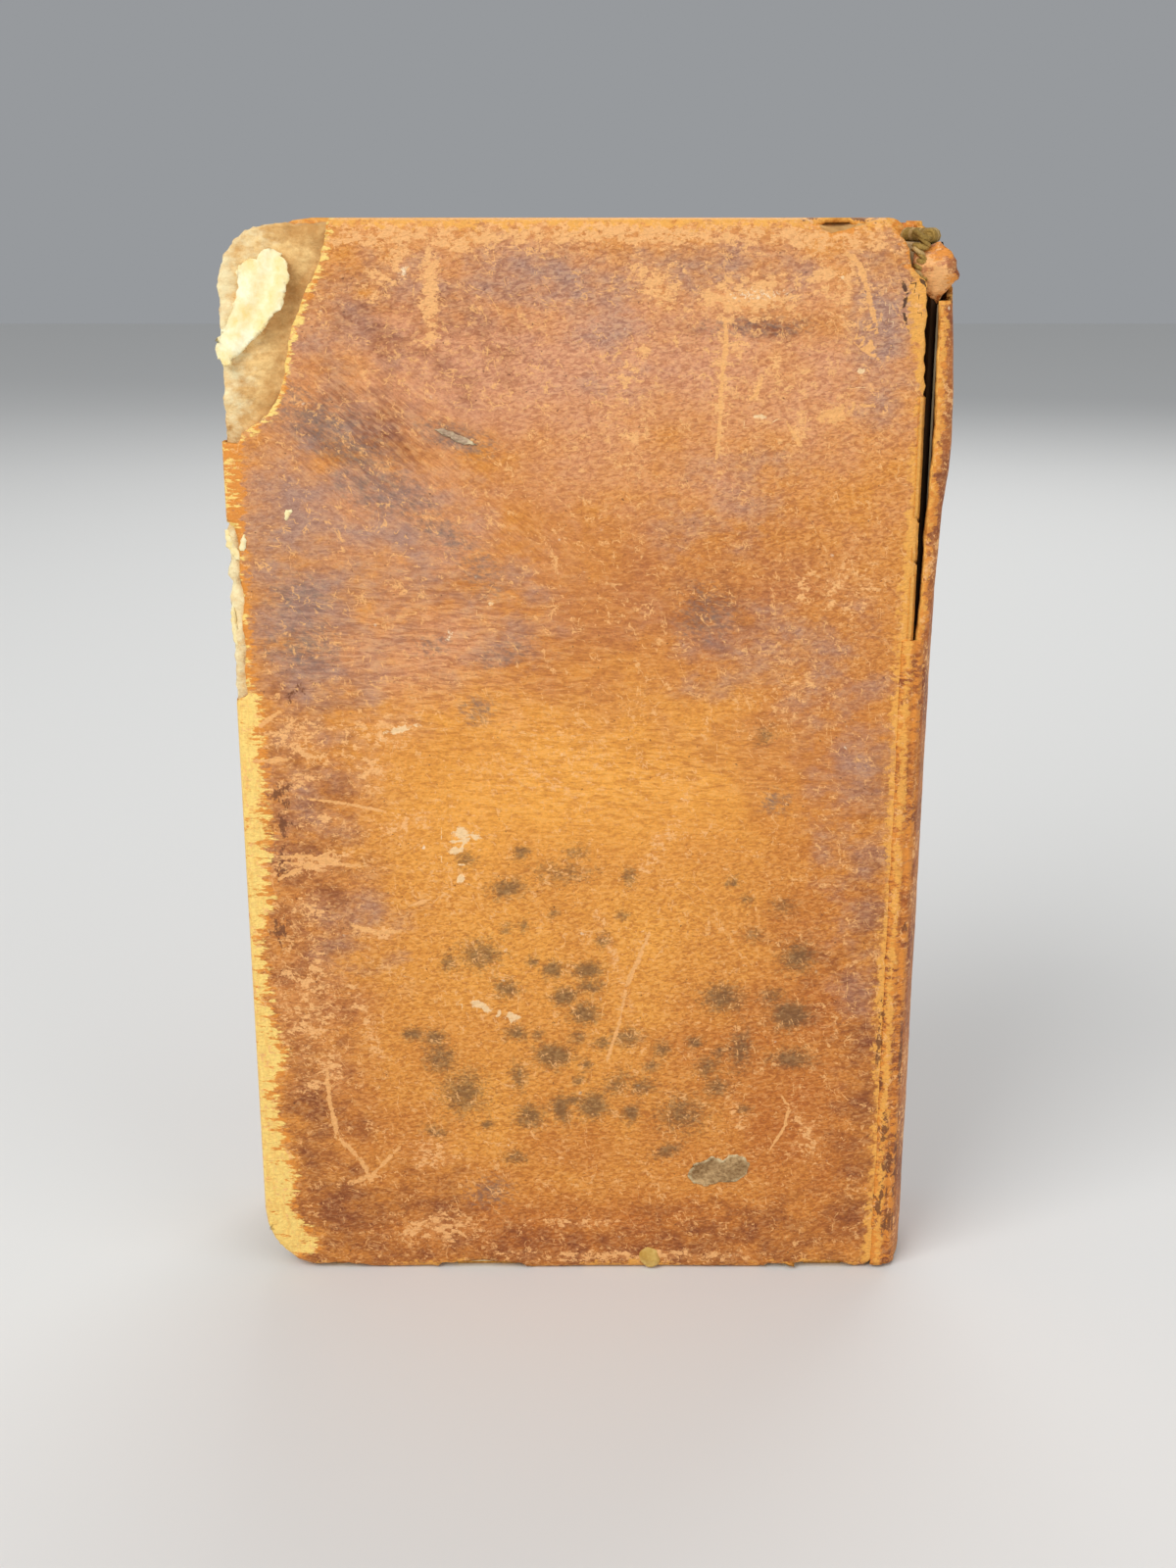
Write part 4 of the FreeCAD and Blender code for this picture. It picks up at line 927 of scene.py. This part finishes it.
# %% Finish the rear board
# Where the pulp is freshly torn and pale, and where it is darker: browned by dust, darker along the free edge of
# the lifted ply, and painted shade in the hollow of the notch at the head
corner_masks = {
    "fresh": patches((-56.5, 165, 3.6, 15, 0, 0.85), (-52, 174, 5, 3, 40, 0.45), (-57, 120, 3, 18, 0, 0.85),
                     (38, 1, 10, 2, 0, 1.0), (-19, 1, 9, 2, 0, 0.9), (-44, 1, 5, 2, 0, 0.8)),
    "dust_and_painted_shade": patches((-44, 170, 4, 8, 0, 0.45), (-50, 150, 7, 5, 0, 0.60), (-46, 158, 3, 8, 10, 0.50),
                     # The last patch, in the notch at the head, is painted shade in its hollow.
                     (-40.5, 175, 2, 4, 0, 0.7), (-55.5, 146.5, 2.5, 2, 0, 0.9), (37.5, 178, 7, 4, 0, 0.5)),
}
rear_board = finish_mesh(board_bm, "rear_pasteboard", [pulp_material], corner_masks)
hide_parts("rear_board")
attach(rear_board, "rear_cover")

# %% [markdown]
# One ply of the corner has come away along the inside of the tear. It stands up with its outline
# like a leaf, nearly white where it was hidden from dirt. Its outline is drawn once and cut into
# small faces; the height then grows from the hinged side to the free one, with a fold along it.

# %% Make the lifted ply
ply_outline = ((0.2, 20.4), (1.5, 21.9), (3.7, 19.9), (5.4, 18.3), (7.6, 15.8), (8.9, 14.3), (10.4, 13.4),
               (11.1, 12.4), (10.9, 11.0), (12.1, 9.0), (11.9, 7.0), (10.8, 5.3), (9.2, 4.5), (7.9, 4.7),
               (7.0, 6.0), (5.4, 6.0), (4.2, 7.4), (4.0, 10.2), (3.2, 12.8), (2.0, 15.3), (0.4, 17.8))


def sheet_of(outline, depth, fine):
    """Flat sheet with a drawn outline, cut into small faces on the rear side."""
    bm = bmesh.new()
    bm.faces.new([bm.verts.new((x, -depth, z)) for x, z in outline])
    low_x, high_x = min(x for x, z in outline), max(x for x, z in outline)
    low_z, high_z = min(z for x, z in outline), max(z for x, z in outline)
    cut_across(bm, 0, steps(low_x, high_x, fine, fine, ()))
    cut_across(bm, 2, steps(low_z, high_z, fine, fine, ()))
    bm.normal_update()
    if bm.faces[:][0].normal.y > 0:
        bmesh.ops.reverse_faces(bm, faces=bm.faces)
    return bm


ply_bm = sheet_of(from_head(ply_outline), board_outer - 0.1, 0.42)
for vert in ply_bm.verts:
    across, down = vert.co.x - fore_x, head_z - vert.co.z
    from_hinge = max(0.0, (across - 0.3) * 0.93 + (down - 20.5) * 0.36)
    fold = 0.42 * math.sin(from_hinge * 1.25 + 0.2)
    fold = fold + 0.20 * noise.noise(vert.co / 2.8) + 0.06 * noise.noise(vert.co / 0.9)
    vert.co.y -= 0.35 + 1.10 * min(1.0, from_hinge / 5.5) + fold * min(1.0, 0.3 + from_hinge / 4.0)
    if vert.is_boundary:
        rough = noise.noise_vector(vert.co / 0.9) * 0.34
        vert.co += Vector((rough.x, rough.y, rough.z))
lifted_ply = finish_mesh(ply_bm, "lifted_ply", [ply_material])
thicken(lifted_ply, 0.55)
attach(lifted_ply, "rear_cover")

# %% [markdown]
# The pages are one block with a hollow fore-edge and a rounded spine. Its plan is drawn once, cut
# into thin bands that stand for a few leaves each, pulled up to the head, and the bands are then
# shifted by a hair, because no two sections of an old book end at the same place. The two flat
# sides are the first and the last leaf, so they get the plain paper.

# %% Make the pages
spine_round, spine_centre = 29.7, 57.1 - 29.7
fold_radius = 28.4
shoulder_depth = 12.6
section_count = 14
half_block = 10.6
fore_pages = round(pages_low.x, 2)
hollow = 2.6


def spine_point(radius, angle):
    """X and Y on the round of the spine, at an angle from its middle."""
    return spine_centre + radius * math.cos(angle), radius * math.sin(angle)


def pages_outline():
    """Plan of the pages: folds round the spine, shoulders, flat sides and the hollow fore-edge."""
    half_angle = math.asin(shoulder_depth / fold_radius)
    points = []
    for number in range(section_count * 4 + 1):
        share = number / (section_count * 4)
        bulge = 0.35 * (1 - abs(math.sin(math.pi * share * section_count)))
        points.append(spine_point(fold_radius - bulge, half_angle * (2 * share - 1)))
    points.append((round(board_high.x, 2) + 0.4, half_block))
    for number in range(13):
        share = number / 12
        depth = half_block * (1 - 2 * share)
        points.append((fore_pages + hollow * (1 - (depth / half_block) ** 2), depth))
    points.append((round(board_high.x, 2) + 0.4, -half_block))
    return points


pages_bm = bmesh.new()
pages_bm.faces.new([pages_bm.verts.new((x, y, pages_low.z)) for x, y in pages_outline()])
cut_across(pages_bm, 1, [-12.2 + 0.34 * number for number in range(72)])
grown = bmesh.ops.extrude_face_region(pages_bm, geom=list(pages_bm.faces))
top = [item for item in grown["geom"] if isinstance(item, bmesh.types.BMVert)]
bmesh.ops.translate(pages_bm, vec=(0, 0, pages_high.z - pages_low.z), verts=top)
cut_across(pages_bm, 2, [pages_low.z + 12 * number for number in range(1, 15)])
cut_across(pages_bm, 0, [fore_pages + 4.5, -20.0, 20.0, 48.0, 50.5, 51.6])
bmesh.ops.recalc_face_normals(pages_bm, faces=pages_bm.faces)
for vert in pages_bm.verts:
    leaf = noise.noise(Vector((vert.co.y * 2.9, 3.1, 7.7))) * 0.34
    leaf += noise.noise(Vector((vert.co.y * 0.55, 8, 2))) * 0.3
    if abs(vert.co.y) < half_block - 0.1:
        if vert.co.z > pages_high.z - 0.1 or vert.co.z < pages_low.z + 0.1:
            vert.co.z += leaf - 0.1
        if vert.co.x < fore_pages + 3:
            vert.co.x += leaf * 0.8 + noise.noise(vert.co / 30) * 0.3
for face in pages_bm.faces:
    if abs(abs(face.calc_center_median().y) - half_block) < 0.01:
        face.material_index = 1


def foxing(p):
    """The first and last leaf are browner towards their three free edges."""
    gaps = np.minimum.reduce([p[:, 0] - fore_pages, p[:, 2] - pages_low.z, pages_high.z - p[:, 2]])
    return np.clip(0.38 - gaps / 60, 0.10, 0.38)


# The glue mask darkens everything past the shoulder: partly old glue, partly painted shade for the deep gap of the
# split joint.
page_masks = {"glue": lambda p: np.clip((p[:, 0] - 50.6) / 1.0, 0, 0.96), "dust_and_painted_shade": foxing}
pages = finish_mesh(pages_bm, "pages", [page_material, paste_material], page_masks, smooth=False)
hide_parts("text_block")
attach(pages, "block")

# %% [markdown]
# The skin of the spine is a strip bent round the folds. Each point of a flat grid is carried to its
# place on the round: the middle follows a circle, and each side turns down to the joint. The rear
# side has split from the cover, dried and sprung away, most of all a third of the way down.

# %% Make the skin of the spine
turn_depth, edge_depth, edge_x = 11.6, 14.3, joint_x + 0.5
JOINT_LIFT = (
    # millimetres down from the head, lift at the split edge, lift at the turn
    (0.0, 0.6, 0.5), (12.0, 1.0, 1.2), (18.8, 1.2, 1.6), (26.0, 1.3, 2.1), (33.8, 1.4, 2.3), (38.0, 1.1, 2.1),
    (44.0, 0.9, 1.4), (50.8, 0.8, 1.1), (58.0, 0.6, 0.7), (66.0, 0.15, 0.4), (74.0, 0.0, 0.1), (180.0, 0.0, 0.0),
)


def spine_skin_point(share, z):
    """Place on the spine's skin: share runs from the rear edge at 0 to the front edge at 1."""
    turn_angle = math.asin(turn_depth / spine_round)
    turn_x, turn_y = spine_point(spine_round, turn_angle)
    side = 0.13
    down, edge_lifts, turn_lifts = zip(*JOINT_LIFT)
    edge_lift, turn_lift = np.interp(head_z - z, down, edge_lifts), np.interp(head_z - z, down, turn_lifts)
    near = share if share < 0.5 else 1 - share
    sign = -1 if share < 0.5 else 1
    if near < side:
        part = near / side
        knee_x, knee_y = (turn_x + edge_x) / 2 + 1.15, (turn_depth + edge_depth) / 2 + 0.75
        x = (1 - part) ** 2 * edge_x + 2 * part * (1 - part) * knee_x + part**2 * turn_x
        y = (1 - part) ** 2 * edge_depth + 2 * part * (1 - part) * knee_y + part**2 * turn_y
    else:
        part = 1.0
        x, y = spine_point(spine_round, turn_angle * (1 - (near - side) / (0.5 - side)))
    lift = edge_lift * (1 - part) + turn_lift * part
    if near >= side:
        lift = turn_lift * (0.2 + 0.8 * max(0, 1 - (near - side) / 0.16))
    return Vector((x + (lift if sign < 0 else 0.2 * turn_lift * (near >= side)), sign * y, z))


spine_bm = bmesh.new()
bmesh.ops.create_grid(spine_bm, x_segments=64, y_segments=230, size=0.5)
for vert in spine_bm.verts:
    vert.co = spine_skin_point(vert.co.x + 0.5, 0.5 + (vert.co.y + 0.5) * (head_z - 1.0))
spine_bm.normal_update()
if sum(face.normal.x for face in spine_bm.faces) < 0:
    bmesh.ops.reverse_faces(spine_bm, faces=spine_bm.faces)
torn_head = [(y, head_z - down) for y, down in (
    (12.0, -3), (12.0, 0.6), (9.6, 2.4), (7.4, 5.6), (4.8, 6.4), (2.4, 8.6), (0.0, 8.0), (-3.0, 9.0), (-6.0, 8.2),
    (-9.5, 10.6), (-12.0, 11.6), (-18.0, 13.0), (-18.0, -3))]
tear_away(spine_bm, torn_head, axes=(1, 2), ragged=0.5)
spine_bm.normal_update()
for vert in spine_bm.verts:
    bumps = 0.10 * noise.noise(vert.co / 9.0) + 0.05 * noise.noise(vert.co / 2.5)
    split_edge = vert.co.y < -13.2 and vert.co.z > 100
    if split_edge:
        bumps += 0.30 * noise.noise(vert.co / 3.1) + 0.18 * noise.noise(vert.co / 1.2)
    vert.co += vert.normal * bumps


def spine_masks():
    """Wear of the spine: rubbed at its ends and along the joints, scuffed where hands pulled it."""
    def rim(p):
        y, z = p[:, 1], p[:, 2]
        head = line_distance(y, z, torn_head[1:-1])
        gaps = np.minimum.reduce([1.9 * (edge_depth - np.abs(y)), z, head, np.where(y < 0, 9.0, head_z - z)])
        return np.clip(1.1 - gaps / (1.3 + 0.8 * wander(p, 6, 33)), 0, 1)

    def bands(p):
        from_raised = np.abs(((p[:, 2] - 8) % 41.0) - 20.5)
        return np.clip(0.75 - from_raised / 5.0, 0, 0.6)

    return {"amber": drift(30, 31, 0.85, 0.55), "brown": drift(16, 32, 0.42, 0.55),
            "russet": drift(24, 34, 0.30, 0.55),
            "scuff": lambda p: np.maximum(drift(9, 35, 0.02, 0.55)(p), bands(p) * 0.5),
            "orange": lambda p: 0.80 * rim(p), "rubbed": lambda p: 0.50 * rim(p),
            "ripple": drift(40, 36, 0.4, 0.55)}


spine_skin = finish_mesh(spine_bm, "spine_skin", [cover_skin_material, flesh_material], spine_masks())
thicken(spine_skin, 0.85, rim_material=1)
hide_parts("spine_leather")
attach(spine_skin, "block")

# %% [markdown]
# At the head of the split one scrap of the joint still hangs on the spine, dried into hard facets
# that catch the light. A drawn outline is cut into small faces, and its height is the lowest of a
# few sloping planes, which is what gives facets with sharp folds between them. How the facets catch
# the light is painted into their colour too: a painted highlight below and painted shade on the right.

# %% Make the scrap at the head of the joint
scrap_outline = ((2.9, 7.4), (2.7, 5.3), (1.1, 4.1), (-1.2, 3.4), (-3.1, 5.3), (-4.3, 7.7), (-4.1, 8.8),
                 (-3.0, 10.1), (-2.3, 11.2), (-1.3, 12.6), (-0.4, 11.9), (1.1, 10.5), (1.8, 8.8))
FACETS = (
    # height at the middle in mm, slope across, slope up
    (16.0, 0.06, 0.16), (16.5, 0.80, -0.12), (15.9, -0.42, -0.42), (16.9, 0.25, -0.80), (16.1, -0.30, 0.62),
)
scrap_bm = sheet_of([(joint_x - a, head_z - down) for a, down in scrap_outline], 14.0, 0.33)
for vert in scrap_bm.verts:
    across, up = vert.co.x - (joint_x + 1.4), vert.co.z - (head_z - 7.2)
    height = min(middle - slope_x * across - slope_z * up for middle, slope_x, slope_z in FACETS)
    vert.co.y = -(height - 0.8 + 0.22 * noise.noise(vert.co / 1.6) + 0.08 * noise.noise(vert.co / 0.6))
    if vert.is_boundary:
        rough = noise.noise_vector(vert.co / 1.1) * 0.4
        vert.co += Vector((rough.x, 0.25, rough.z))
bmesh.ops.smooth_vert(scrap_bm, verts=scrap_bm.verts, factor=0.3,
                      use_axis_x=True, use_axis_y=True, use_axis_z=True)
# Painted light on the facets: the lower facet is lightened ('scuff') as a painted highlight, the upper one tinted
# pink ('rosy') for its light, and the right side darkened ('brown') as painted shade.
scrap_masks_with_painted_light = {
    "scuff": patches((joint_x + 1.1, 169.6, 1.9, 1.9, 20, 1.7), (joint_x - 0.6, 172.8, 1.6, 1.6, 0, 0.8)),
    "rosy": patches((joint_x - 0.4, 172.6, 2.6, 2.4, 0, 1.3)),
    "orange": patches((joint_x + 1.4, 174.2, 2.4, 1.2, 0, 0.8), (joint_x + 3.2, 169.0, 1.2, 1.6, 0, 0.6)),
    "amber": everywhere(0.9),
    "brown": lambda p: np.clip(0.25 + 0.6 * wander(p, 2.4, 61) + 0.7 * (p[:, 0] > joint_x + 2.2), 0, 1),
}
scrap = finish_mesh(scrap_bm, "joint_scrap", [cover_skin_material, flesh_material], scrap_masks_with_painted_light)
thicken(scrap, 1.1, rim_material=1)
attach(scrap, "block")

# %% [markdown]
# Over each joint the skin runs on from the cover to the spine and sinks into a groove, where it
# folds each time the cover swings. On the front it is whole; on the rear it has split down from the
# head and holds only below. These strips are baked in place and ride on neither body.

# %% Make the skin over the joints
JOINT_PROFILE = ((50.2, 14.86), (50.9, 15.06), (51.6, 15.10), (52.1, 14.94), (52.5, 14.62), (52.9, 14.58),
                 (53.3, 14.52), (53.7, 14.12), (54.1, 13.45))


def joint_skin(name, sign, low, high, seed):
    """Strip of skin over one joint, from the cover's edge to the spine."""
    bm = bmesh.new()
    bmesh.ops.create_grid(bm, x_segments=16, y_segments=int((high - low) / 0.8), size=0.5)
    stations = np.linspace(0, 1, len(JOINT_PROFILE))
    profile_x, profile_depth = zip(*JOINT_PROFILE)
    for vert in bm.verts:
        share, z = vert.co.x + 0.5, low + (vert.co.y + 0.5) * (high - low)
        bumps = 0.10 * noise.noise((share * 4, z / 4.0, seed))
        bumps += 0.06 * noise.noise((share * 9, z / 1.4, seed))
        edge = noise.noise((z / 2.0, seed, 3.0)) * 0.5
        x = np.interp(share, stations, profile_x) - max(0.0, 0.2 - share) * 5 * max(0.0, edge)
        depth = np.interp(share, stations, profile_depth) + bumps * (0.15 < share)
        vert.co = Vector((x, sign * depth, z))
    bm.normal_update()
    if sum(face.normal.y * sign for face in bm.faces) < 0:
        bmesh.ops.reverse_faces(bm, faces=bm.faces)
    masks = {
        "amber": everywhere(0.9),
        "orange": lambda p: np.clip(0.55 + 0.5 * wander(p, 7, seed), 0, 1),
        "rubbed": lambda p: np.clip(0.9 - np.abs(p[:, 0] - 51.3) / 1.3 + 0.3 * wander(p, 5, seed + 1), 0, 1),
        "brown": lambda p: np.clip(0.25 + 0.75 * wander(p, 9, seed + 2) + 0.35 * (p[:, 2] < 62), 0, 1),
        "remains": patches(*PATCHES["remains"]),
    }
    strip = finish_mesh(bm, name, [cover_skin_material, flesh_material], masks)
    thicken(strip, 0.4, rim_material=1)
    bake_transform(strip)
    return strip


joint_skin("front_joint_skin", FRONT, 0.7, 178.0, 71)
joint_skin("rear_joint_skin", REAR, 0.7, 114.0, 75)

# %% [markdown]
# Inside, the pastedown runs on over the joint to the first leaf as a strip of the same paper. With
# the cover open it runs straight from the pages to the board. Above a height it is painted near-black,
# as the shade deep in the joint: higher on the front, lower on the rear, where the joint has split.

# %% Make the paper hinges
def paper_hinge(name, sign, shaded_from):
    """Strip of paper from the side of the pages to the inside of one cover, with painted shade, near-black, above a
    height.
    """
    bm = bmesh.new()
    bmesh.ops.create_grid(bm, x_segments=28, y_segments=24, size=0.5)
    start, end = (51.8, 10.66), (paste_high.x - 1.5, turn_in_depth - 0.32)
    for vert in bm.verts:
        share, z = vert.co.x + 0.5, 6.0 + (vert.co.y + 0.5) * (head_z - 12.0)
        x = start[0] + (end[0] - start[0]) * share
        depth = start[1] + (end[1] - start[1]) * share
        vert.co = Vector((x, sign * depth, z))
    bm.normal_update()
    # painted shade: the strip goes near-black past the shoulder and above a height, for the deep gap of the joint
    masks = {"painted_gap_shade": lambda p: np.clip(p[:, 0] - 49.4, 0, 1) * np.clip((p[:, 2] - shaded_from) / 6, 0, 1),
             "dust_and_painted_shade": everywhere(0.3)}
    strip = finish_mesh(bm, name, [paste_material], masks)
    thicken(strip, 0.12)
    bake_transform(strip)


paper_hinge("front_paper_hinge", FRONT, 168.0)
paper_hinge("rear_paper_hinge", REAR, 104.0)

# %% [markdown]
# An endband is a cord laid across the ends of the sections and wound with silk, three turns of green
# and then two of plain thread. One turn is spun once, then copied round the arc of the spine.

# %% Make the endbands
band_radius, band_half = 26.7, math.asin(10.5 / 26.7)
turn_total = 34


def thread_turn(bm, radius, thread, material_index):
    """One turn of thread round the Y axis, and the points it is made of."""
    before = set(bm.verts)
    section = bmesh.ops.create_circle(bm, cap_ends=False, segments=6, radius=thread)["verts"]
    bmesh.ops.translate(bm, verts=section, vec=(radius, 0, 0))
    ring = [edge for edge in bm.edges if all(vert in section for vert in edge.verts)]
    bmesh.ops.spin(bm, geom=ring, cent=(0, 0, 0), axis=(0, 1, 0), angle=2 * math.pi, steps=10, use_merge=True)
    made = [vert for vert in bm.verts if vert not in before]
    for face in {face for vert in made for face in vert.link_faces}:
        face.material_index = material_index
    return made


def endband(name, node, z, slant):
    """Wound endband over the ends of the pages."""
    bm = bmesh.new()
    core = bmesh.ops.create_circle(bm, cap_ends=False, segments=10, radius=0.78)
    bmesh.ops.rotate(bm, verts=core["verts"], cent=(0, 0, 0), matrix=Matrix.Rotation(math.pi / 2, 3, "X"))
    bmesh.ops.translate(bm, verts=core["verts"], vec=(spine_centre + band_radius, 0, z))
    bmesh.ops.rotate(bm, verts=core["verts"], cent=(spine_centre, 0, z),
                     matrix=Matrix.Rotation(-band_half, 3, "Z"))
    rim = list(bm.edges)
    bmesh.ops.spin(bm, geom=rim, cent=(spine_centre, 0, z), axis=(0, 0, 1), angle=2 * band_half, steps=20,
                   use_merge=False)
    bmesh.ops.holes_fill(bm, edges=[edge for edge in bm.edges if edge.is_boundary], sides=0)
    for number in range(turn_total):
        made = thread_turn(bm, 0.86, 0.36, 1 if number % 5 > 2 else 0)
        angle = band_half * (2 * (number + 0.5) / turn_total - 1)
        bmesh.ops.rotate(bm, verts=made, cent=(0, 0, 0), matrix=Matrix.Rotation(slant, 3, "X"))
        bmesh.ops.translate(bm, verts=made, vec=(spine_centre + band_radius, 0, z))
        bmesh.ops.rotate(bm, verts=made, cent=(spine_centre, 0, z), matrix=Matrix.Rotation(angle, 3, "Z"))
    bmesh.ops.recalc_face_normals(bm, faces=bm.faces)
    for vert in bm.verts:
        vert.co += noise.noise_vector(vert.co / 1.7) * 0.10
    band = finish_mesh(bm, name, [green_silk, plain_silk])
    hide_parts(node)
    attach(band, "block")


endband("head_wound_band", "head_endband", 176.15, 0.12)
endband("tail_wound_band", "tail_endband", 1.85, -0.12)

# %% [markdown]
# At the rear the head endband has broken loose. Its end hangs down in the gap of the torn corner, a
# slack coil of the same thread, so it is made of the same turns, laid one below the other and shaken.

# %% Make the loose end of the endband
loose_bm = bmesh.new()
for number in range(9):
    made = thread_turn(loose_bm, 1.12 - 0.05 * number, 0.40, 1 if number % 4 == 3 else 0)
    bmesh.ops.rotate(loose_bm, verts=made, cent=(0, 0, 0), matrix=Matrix.Rotation(math.pi / 2, 3, "X"))
    lean = 0.5 + 0.3 * math.sin(number * 2.1)
    bmesh.ops.rotate(loose_bm, verts=made, cent=(0, 0, 0), matrix=Matrix.Rotation(lean, 3, "Y"))
    hangs_at = (50.5 + 0.35 * math.sin(number * 1.7), -12.9, 176.2 - 0.78 * number)
    bmesh.ops.translate(loose_bm, verts=made, vec=hangs_at)
bmesh.ops.recalc_face_normals(loose_bm, faces=loose_bm.faces)
for vert in loose_bm.verts:
    vert.co += noise.noise_vector(vert.co / 1.2) * 0.32
loose_end = finish_mesh(loose_bm, "loose_band_end", [green_silk, plain_silk])
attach(loose_end, "block")

# %% [markdown]
# Small things tell an old book from a new one: a flake of dried residue near the tail, a bead of
# old glue on the tail edge, and slivers of board that stand out of the fore-edge.

# %% Make the small marks
FLAKES = (
    # name, how far it stands out of the face, thickness, material, slot, roughness, outline
    ("dried_crust", 0.20, 0.3, scab_material, "leather", 0.34,
     ((17.3, 18.6), (18.4, 20.7), (20.4, 21.6), (21.8, 22.4), (23.4, 21.4), (24.6, 22.7), (27.0, 22.4),
      (28.2, 20.9), (27.6, 18.6), (25.9, 17.3), (23.0, 17.2), (20.6, 16.3), (18.6, 17.0))),
    ("gouge_lip", 0.16, 0.25, gouge_material, "leather", 0.12,
     ((-23.8, 147.5), (-22.6, 147.6), (-20.8, 147.0), (-18.8, 146.1), (-17.2, 145.1), (-18.4, 145.1),
      (-20.4, 145.7), (-22.4, 146.5))),
    ("board_sliver_1", -0.2, 0.5, ply_material, "board", 0.3,
     ((-57.3, 131.6), (-56.9, 129.2), (-55.9, 127.2), (-54.8, 126.6), (-54.7, 128.2), (-55.6, 129.0),
      (-56.1, 130.4), (-56.6, 132.0))),
    ("board_sliver_2", 0.1, 0.4, ply_material, "board", 0.2,
     ((-54.7, 130.4), (-54.9, 128.6), (-54.0, 128.4), (-53.7, 130.0), (-54.1, 131.4))),
    ("board_sliver_3", -0.5, 0.5, ply_material, "board", 0.3,
     ((-57.1, 118.6), (-56.8, 114.0), (-56.2, 112.0), (-55.9, 114.4), (-56.2, 118.0), (-56.5, 120.6))),
    ("paper_fleck", 0.12, 0.2, ply_material, "paper", 0.1,
     ((-47.6, 133.6), (-47.1, 133.3), (-46.9, 134.1), (-46.2, 134.6), (-46.4, 135.1), (-47.2, 135.1),
      (-47.5, 134.5))),
)
for name, stands_out, thickness, material, slot, rough, outline in FLAKES:
    bm = sheet_of(outline, face_depth + stands_out, 0.4)
    for vert in bm.verts:
        bumps = 0.5 * noise.noise(vert.co / 2.0) + 0.5 * noise.noise(vert.co / 0.7)
        vert.co.y -= rough * bumps
        if vert.is_boundary:
            vert.co += noise.noise_vector(vert.co / 0.8) * 0.35
            vert.co.y += thickness * 0.5
    rim = list(outline) + [outline[0]]
    pale_rim = {"fresh": lambda p: np.clip(0.42 - line_distance(p[:, 0], p[:, 2], rim) / 1.2, 0, 1)}
    piece = finish_mesh(bm, name, [material], pale_rim)
    thicken(piece, thickness)
    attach(piece, "rear_cover")

glue_bm = bmesh.new()
bmesh.ops.create_icosphere(glue_bm, subdivisions=3, radius=1.0)
for vert in glue_bm.verts:
    vert.co *= 1.0 + 0.35 * noise.noise(vert.co * 1.3)
    vert.co = Vector((11.0 + vert.co.x * 1.9, -face_depth + 0.1 + vert.co.y * 0.65, 2.3 + vert.co.z * 1.9))
glue = finish_mesh(glue_bm, "glue_bead", [glue_material])
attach(glue, "rear_cover")

# %% [markdown]
# The scene around the book is a pale paper floor under soft light, with the camera where the
# photographer's was: a little above the book, looking down seventeen degrees.

# %% Camera, floor and light
camera_place = Vector((0.0, -306.6, 179.2)) * MM
camera_target = Vector((0.0, -15.0, 90.1)) * MM
camera = bpy.data.objects.new("camera", bpy.data.cameras.new("camera"))
camera.data.lens = 42.75
camera.data.sensor_width = 36.0
camera.data.clip_start = 0.01
camera.location = camera_place
camera.rotation_euler = (camera_target - camera_place).to_track_quat("-Z", "Y").to_euler()
bpy.context.scene.collection.objects.link(camera)
bpy.context.scene.camera = camera

stage_bm = bmesh.new()
bmesh.ops.create_grid(stage_bm, x_segments=1, y_segments=1, size=3.0)
stage_mesh = bpy.data.meshes.new("floor")
stage_bm.to_mesh(stage_mesh)
stage_bm.free()
floor = bpy.data.objects.new("floor", stage_mesh)
bpy.context.scene.collection.objects.link(floor)
paper_floor, floor_shader = new_material("pale floor paper", roughness=0.9, specular=0.1)
floor_shader.inputs["Base Color"].default_value = linear("#dcdbd8")
stage_mesh.materials.append(paper_floor)

world = bpy.data.worlds.new("studio")
world.use_nodes = True
background = world.node_tree.nodes["Background"]
background.inputs["Color"].default_value = linear("#e9edf2")
# Seen directly or as gloss, the world is as dim as the far end of the floor, so no horizon shows
world_light, seen_less = 0.48, -0.10
rays = add_node(world, "LightPath").outputs
seen = add_node(world, "Math", {0: rays["Is Camera Ray"], 1: rays["Is Glossy Ray"]}, operation="MAXIMUM")
seen = add_node(world, "Math", {0: seen.outputs[0], 1: rays["Is Transmission Ray"]}, operation="MAXIMUM")
strength = add_node(world, "Math", {0: seen.outputs[0], 1: seen_less, 2: world_light},
                    operation="MULTIPLY_ADD")
world.node_tree.links.new(strength.outputs[0], background.inputs["Strength"])
bpy.context.scene.world = world

LAMPS = (
    # name, place in metres, width in metres, watts
    ("window light", (-0.75, -0.85, 1.05), 0.9, 15.0),
    ("fill light", (0.9, -0.7, 0.5), 1.0, 4.4),
    ("back light", (0.2, 0.9, 0.9), 0.9, 5.4),
)
for name, place, width, watts in LAMPS:
    lamp = bpy.data.lights.new(name, "AREA")
    lamp.size = width
    lamp.energy = watts
    lamp_object = bpy.data.objects.new(name, lamp)
    lamp_object.location = place
    lamp_object.rotation_euler = (Vector((0, 0, 0.09)) - Vector(place)).to_track_quat("-Z", "Y").to_euler()
    bpy.context.scene.collection.objects.link(lamp_object)

scene = bpy.context.scene
scene.view_settings.view_transform = "Standard"
print("lamps:", [lamp[0] for lamp in LAMPS])

# %% [markdown]
# The solids that stay as they are, mostly hidden inside, get the finish of what they are made of.

# %% Finish the solids that stay
PAPER_SOLIDS = ("spine_lining", "rear_pastedown", "front_pastedown")
for node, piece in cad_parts.items():
    piece.data.materials.clear()
    piece.data.materials.append(paste_material if node in PAPER_SOLIDS else cord_material)
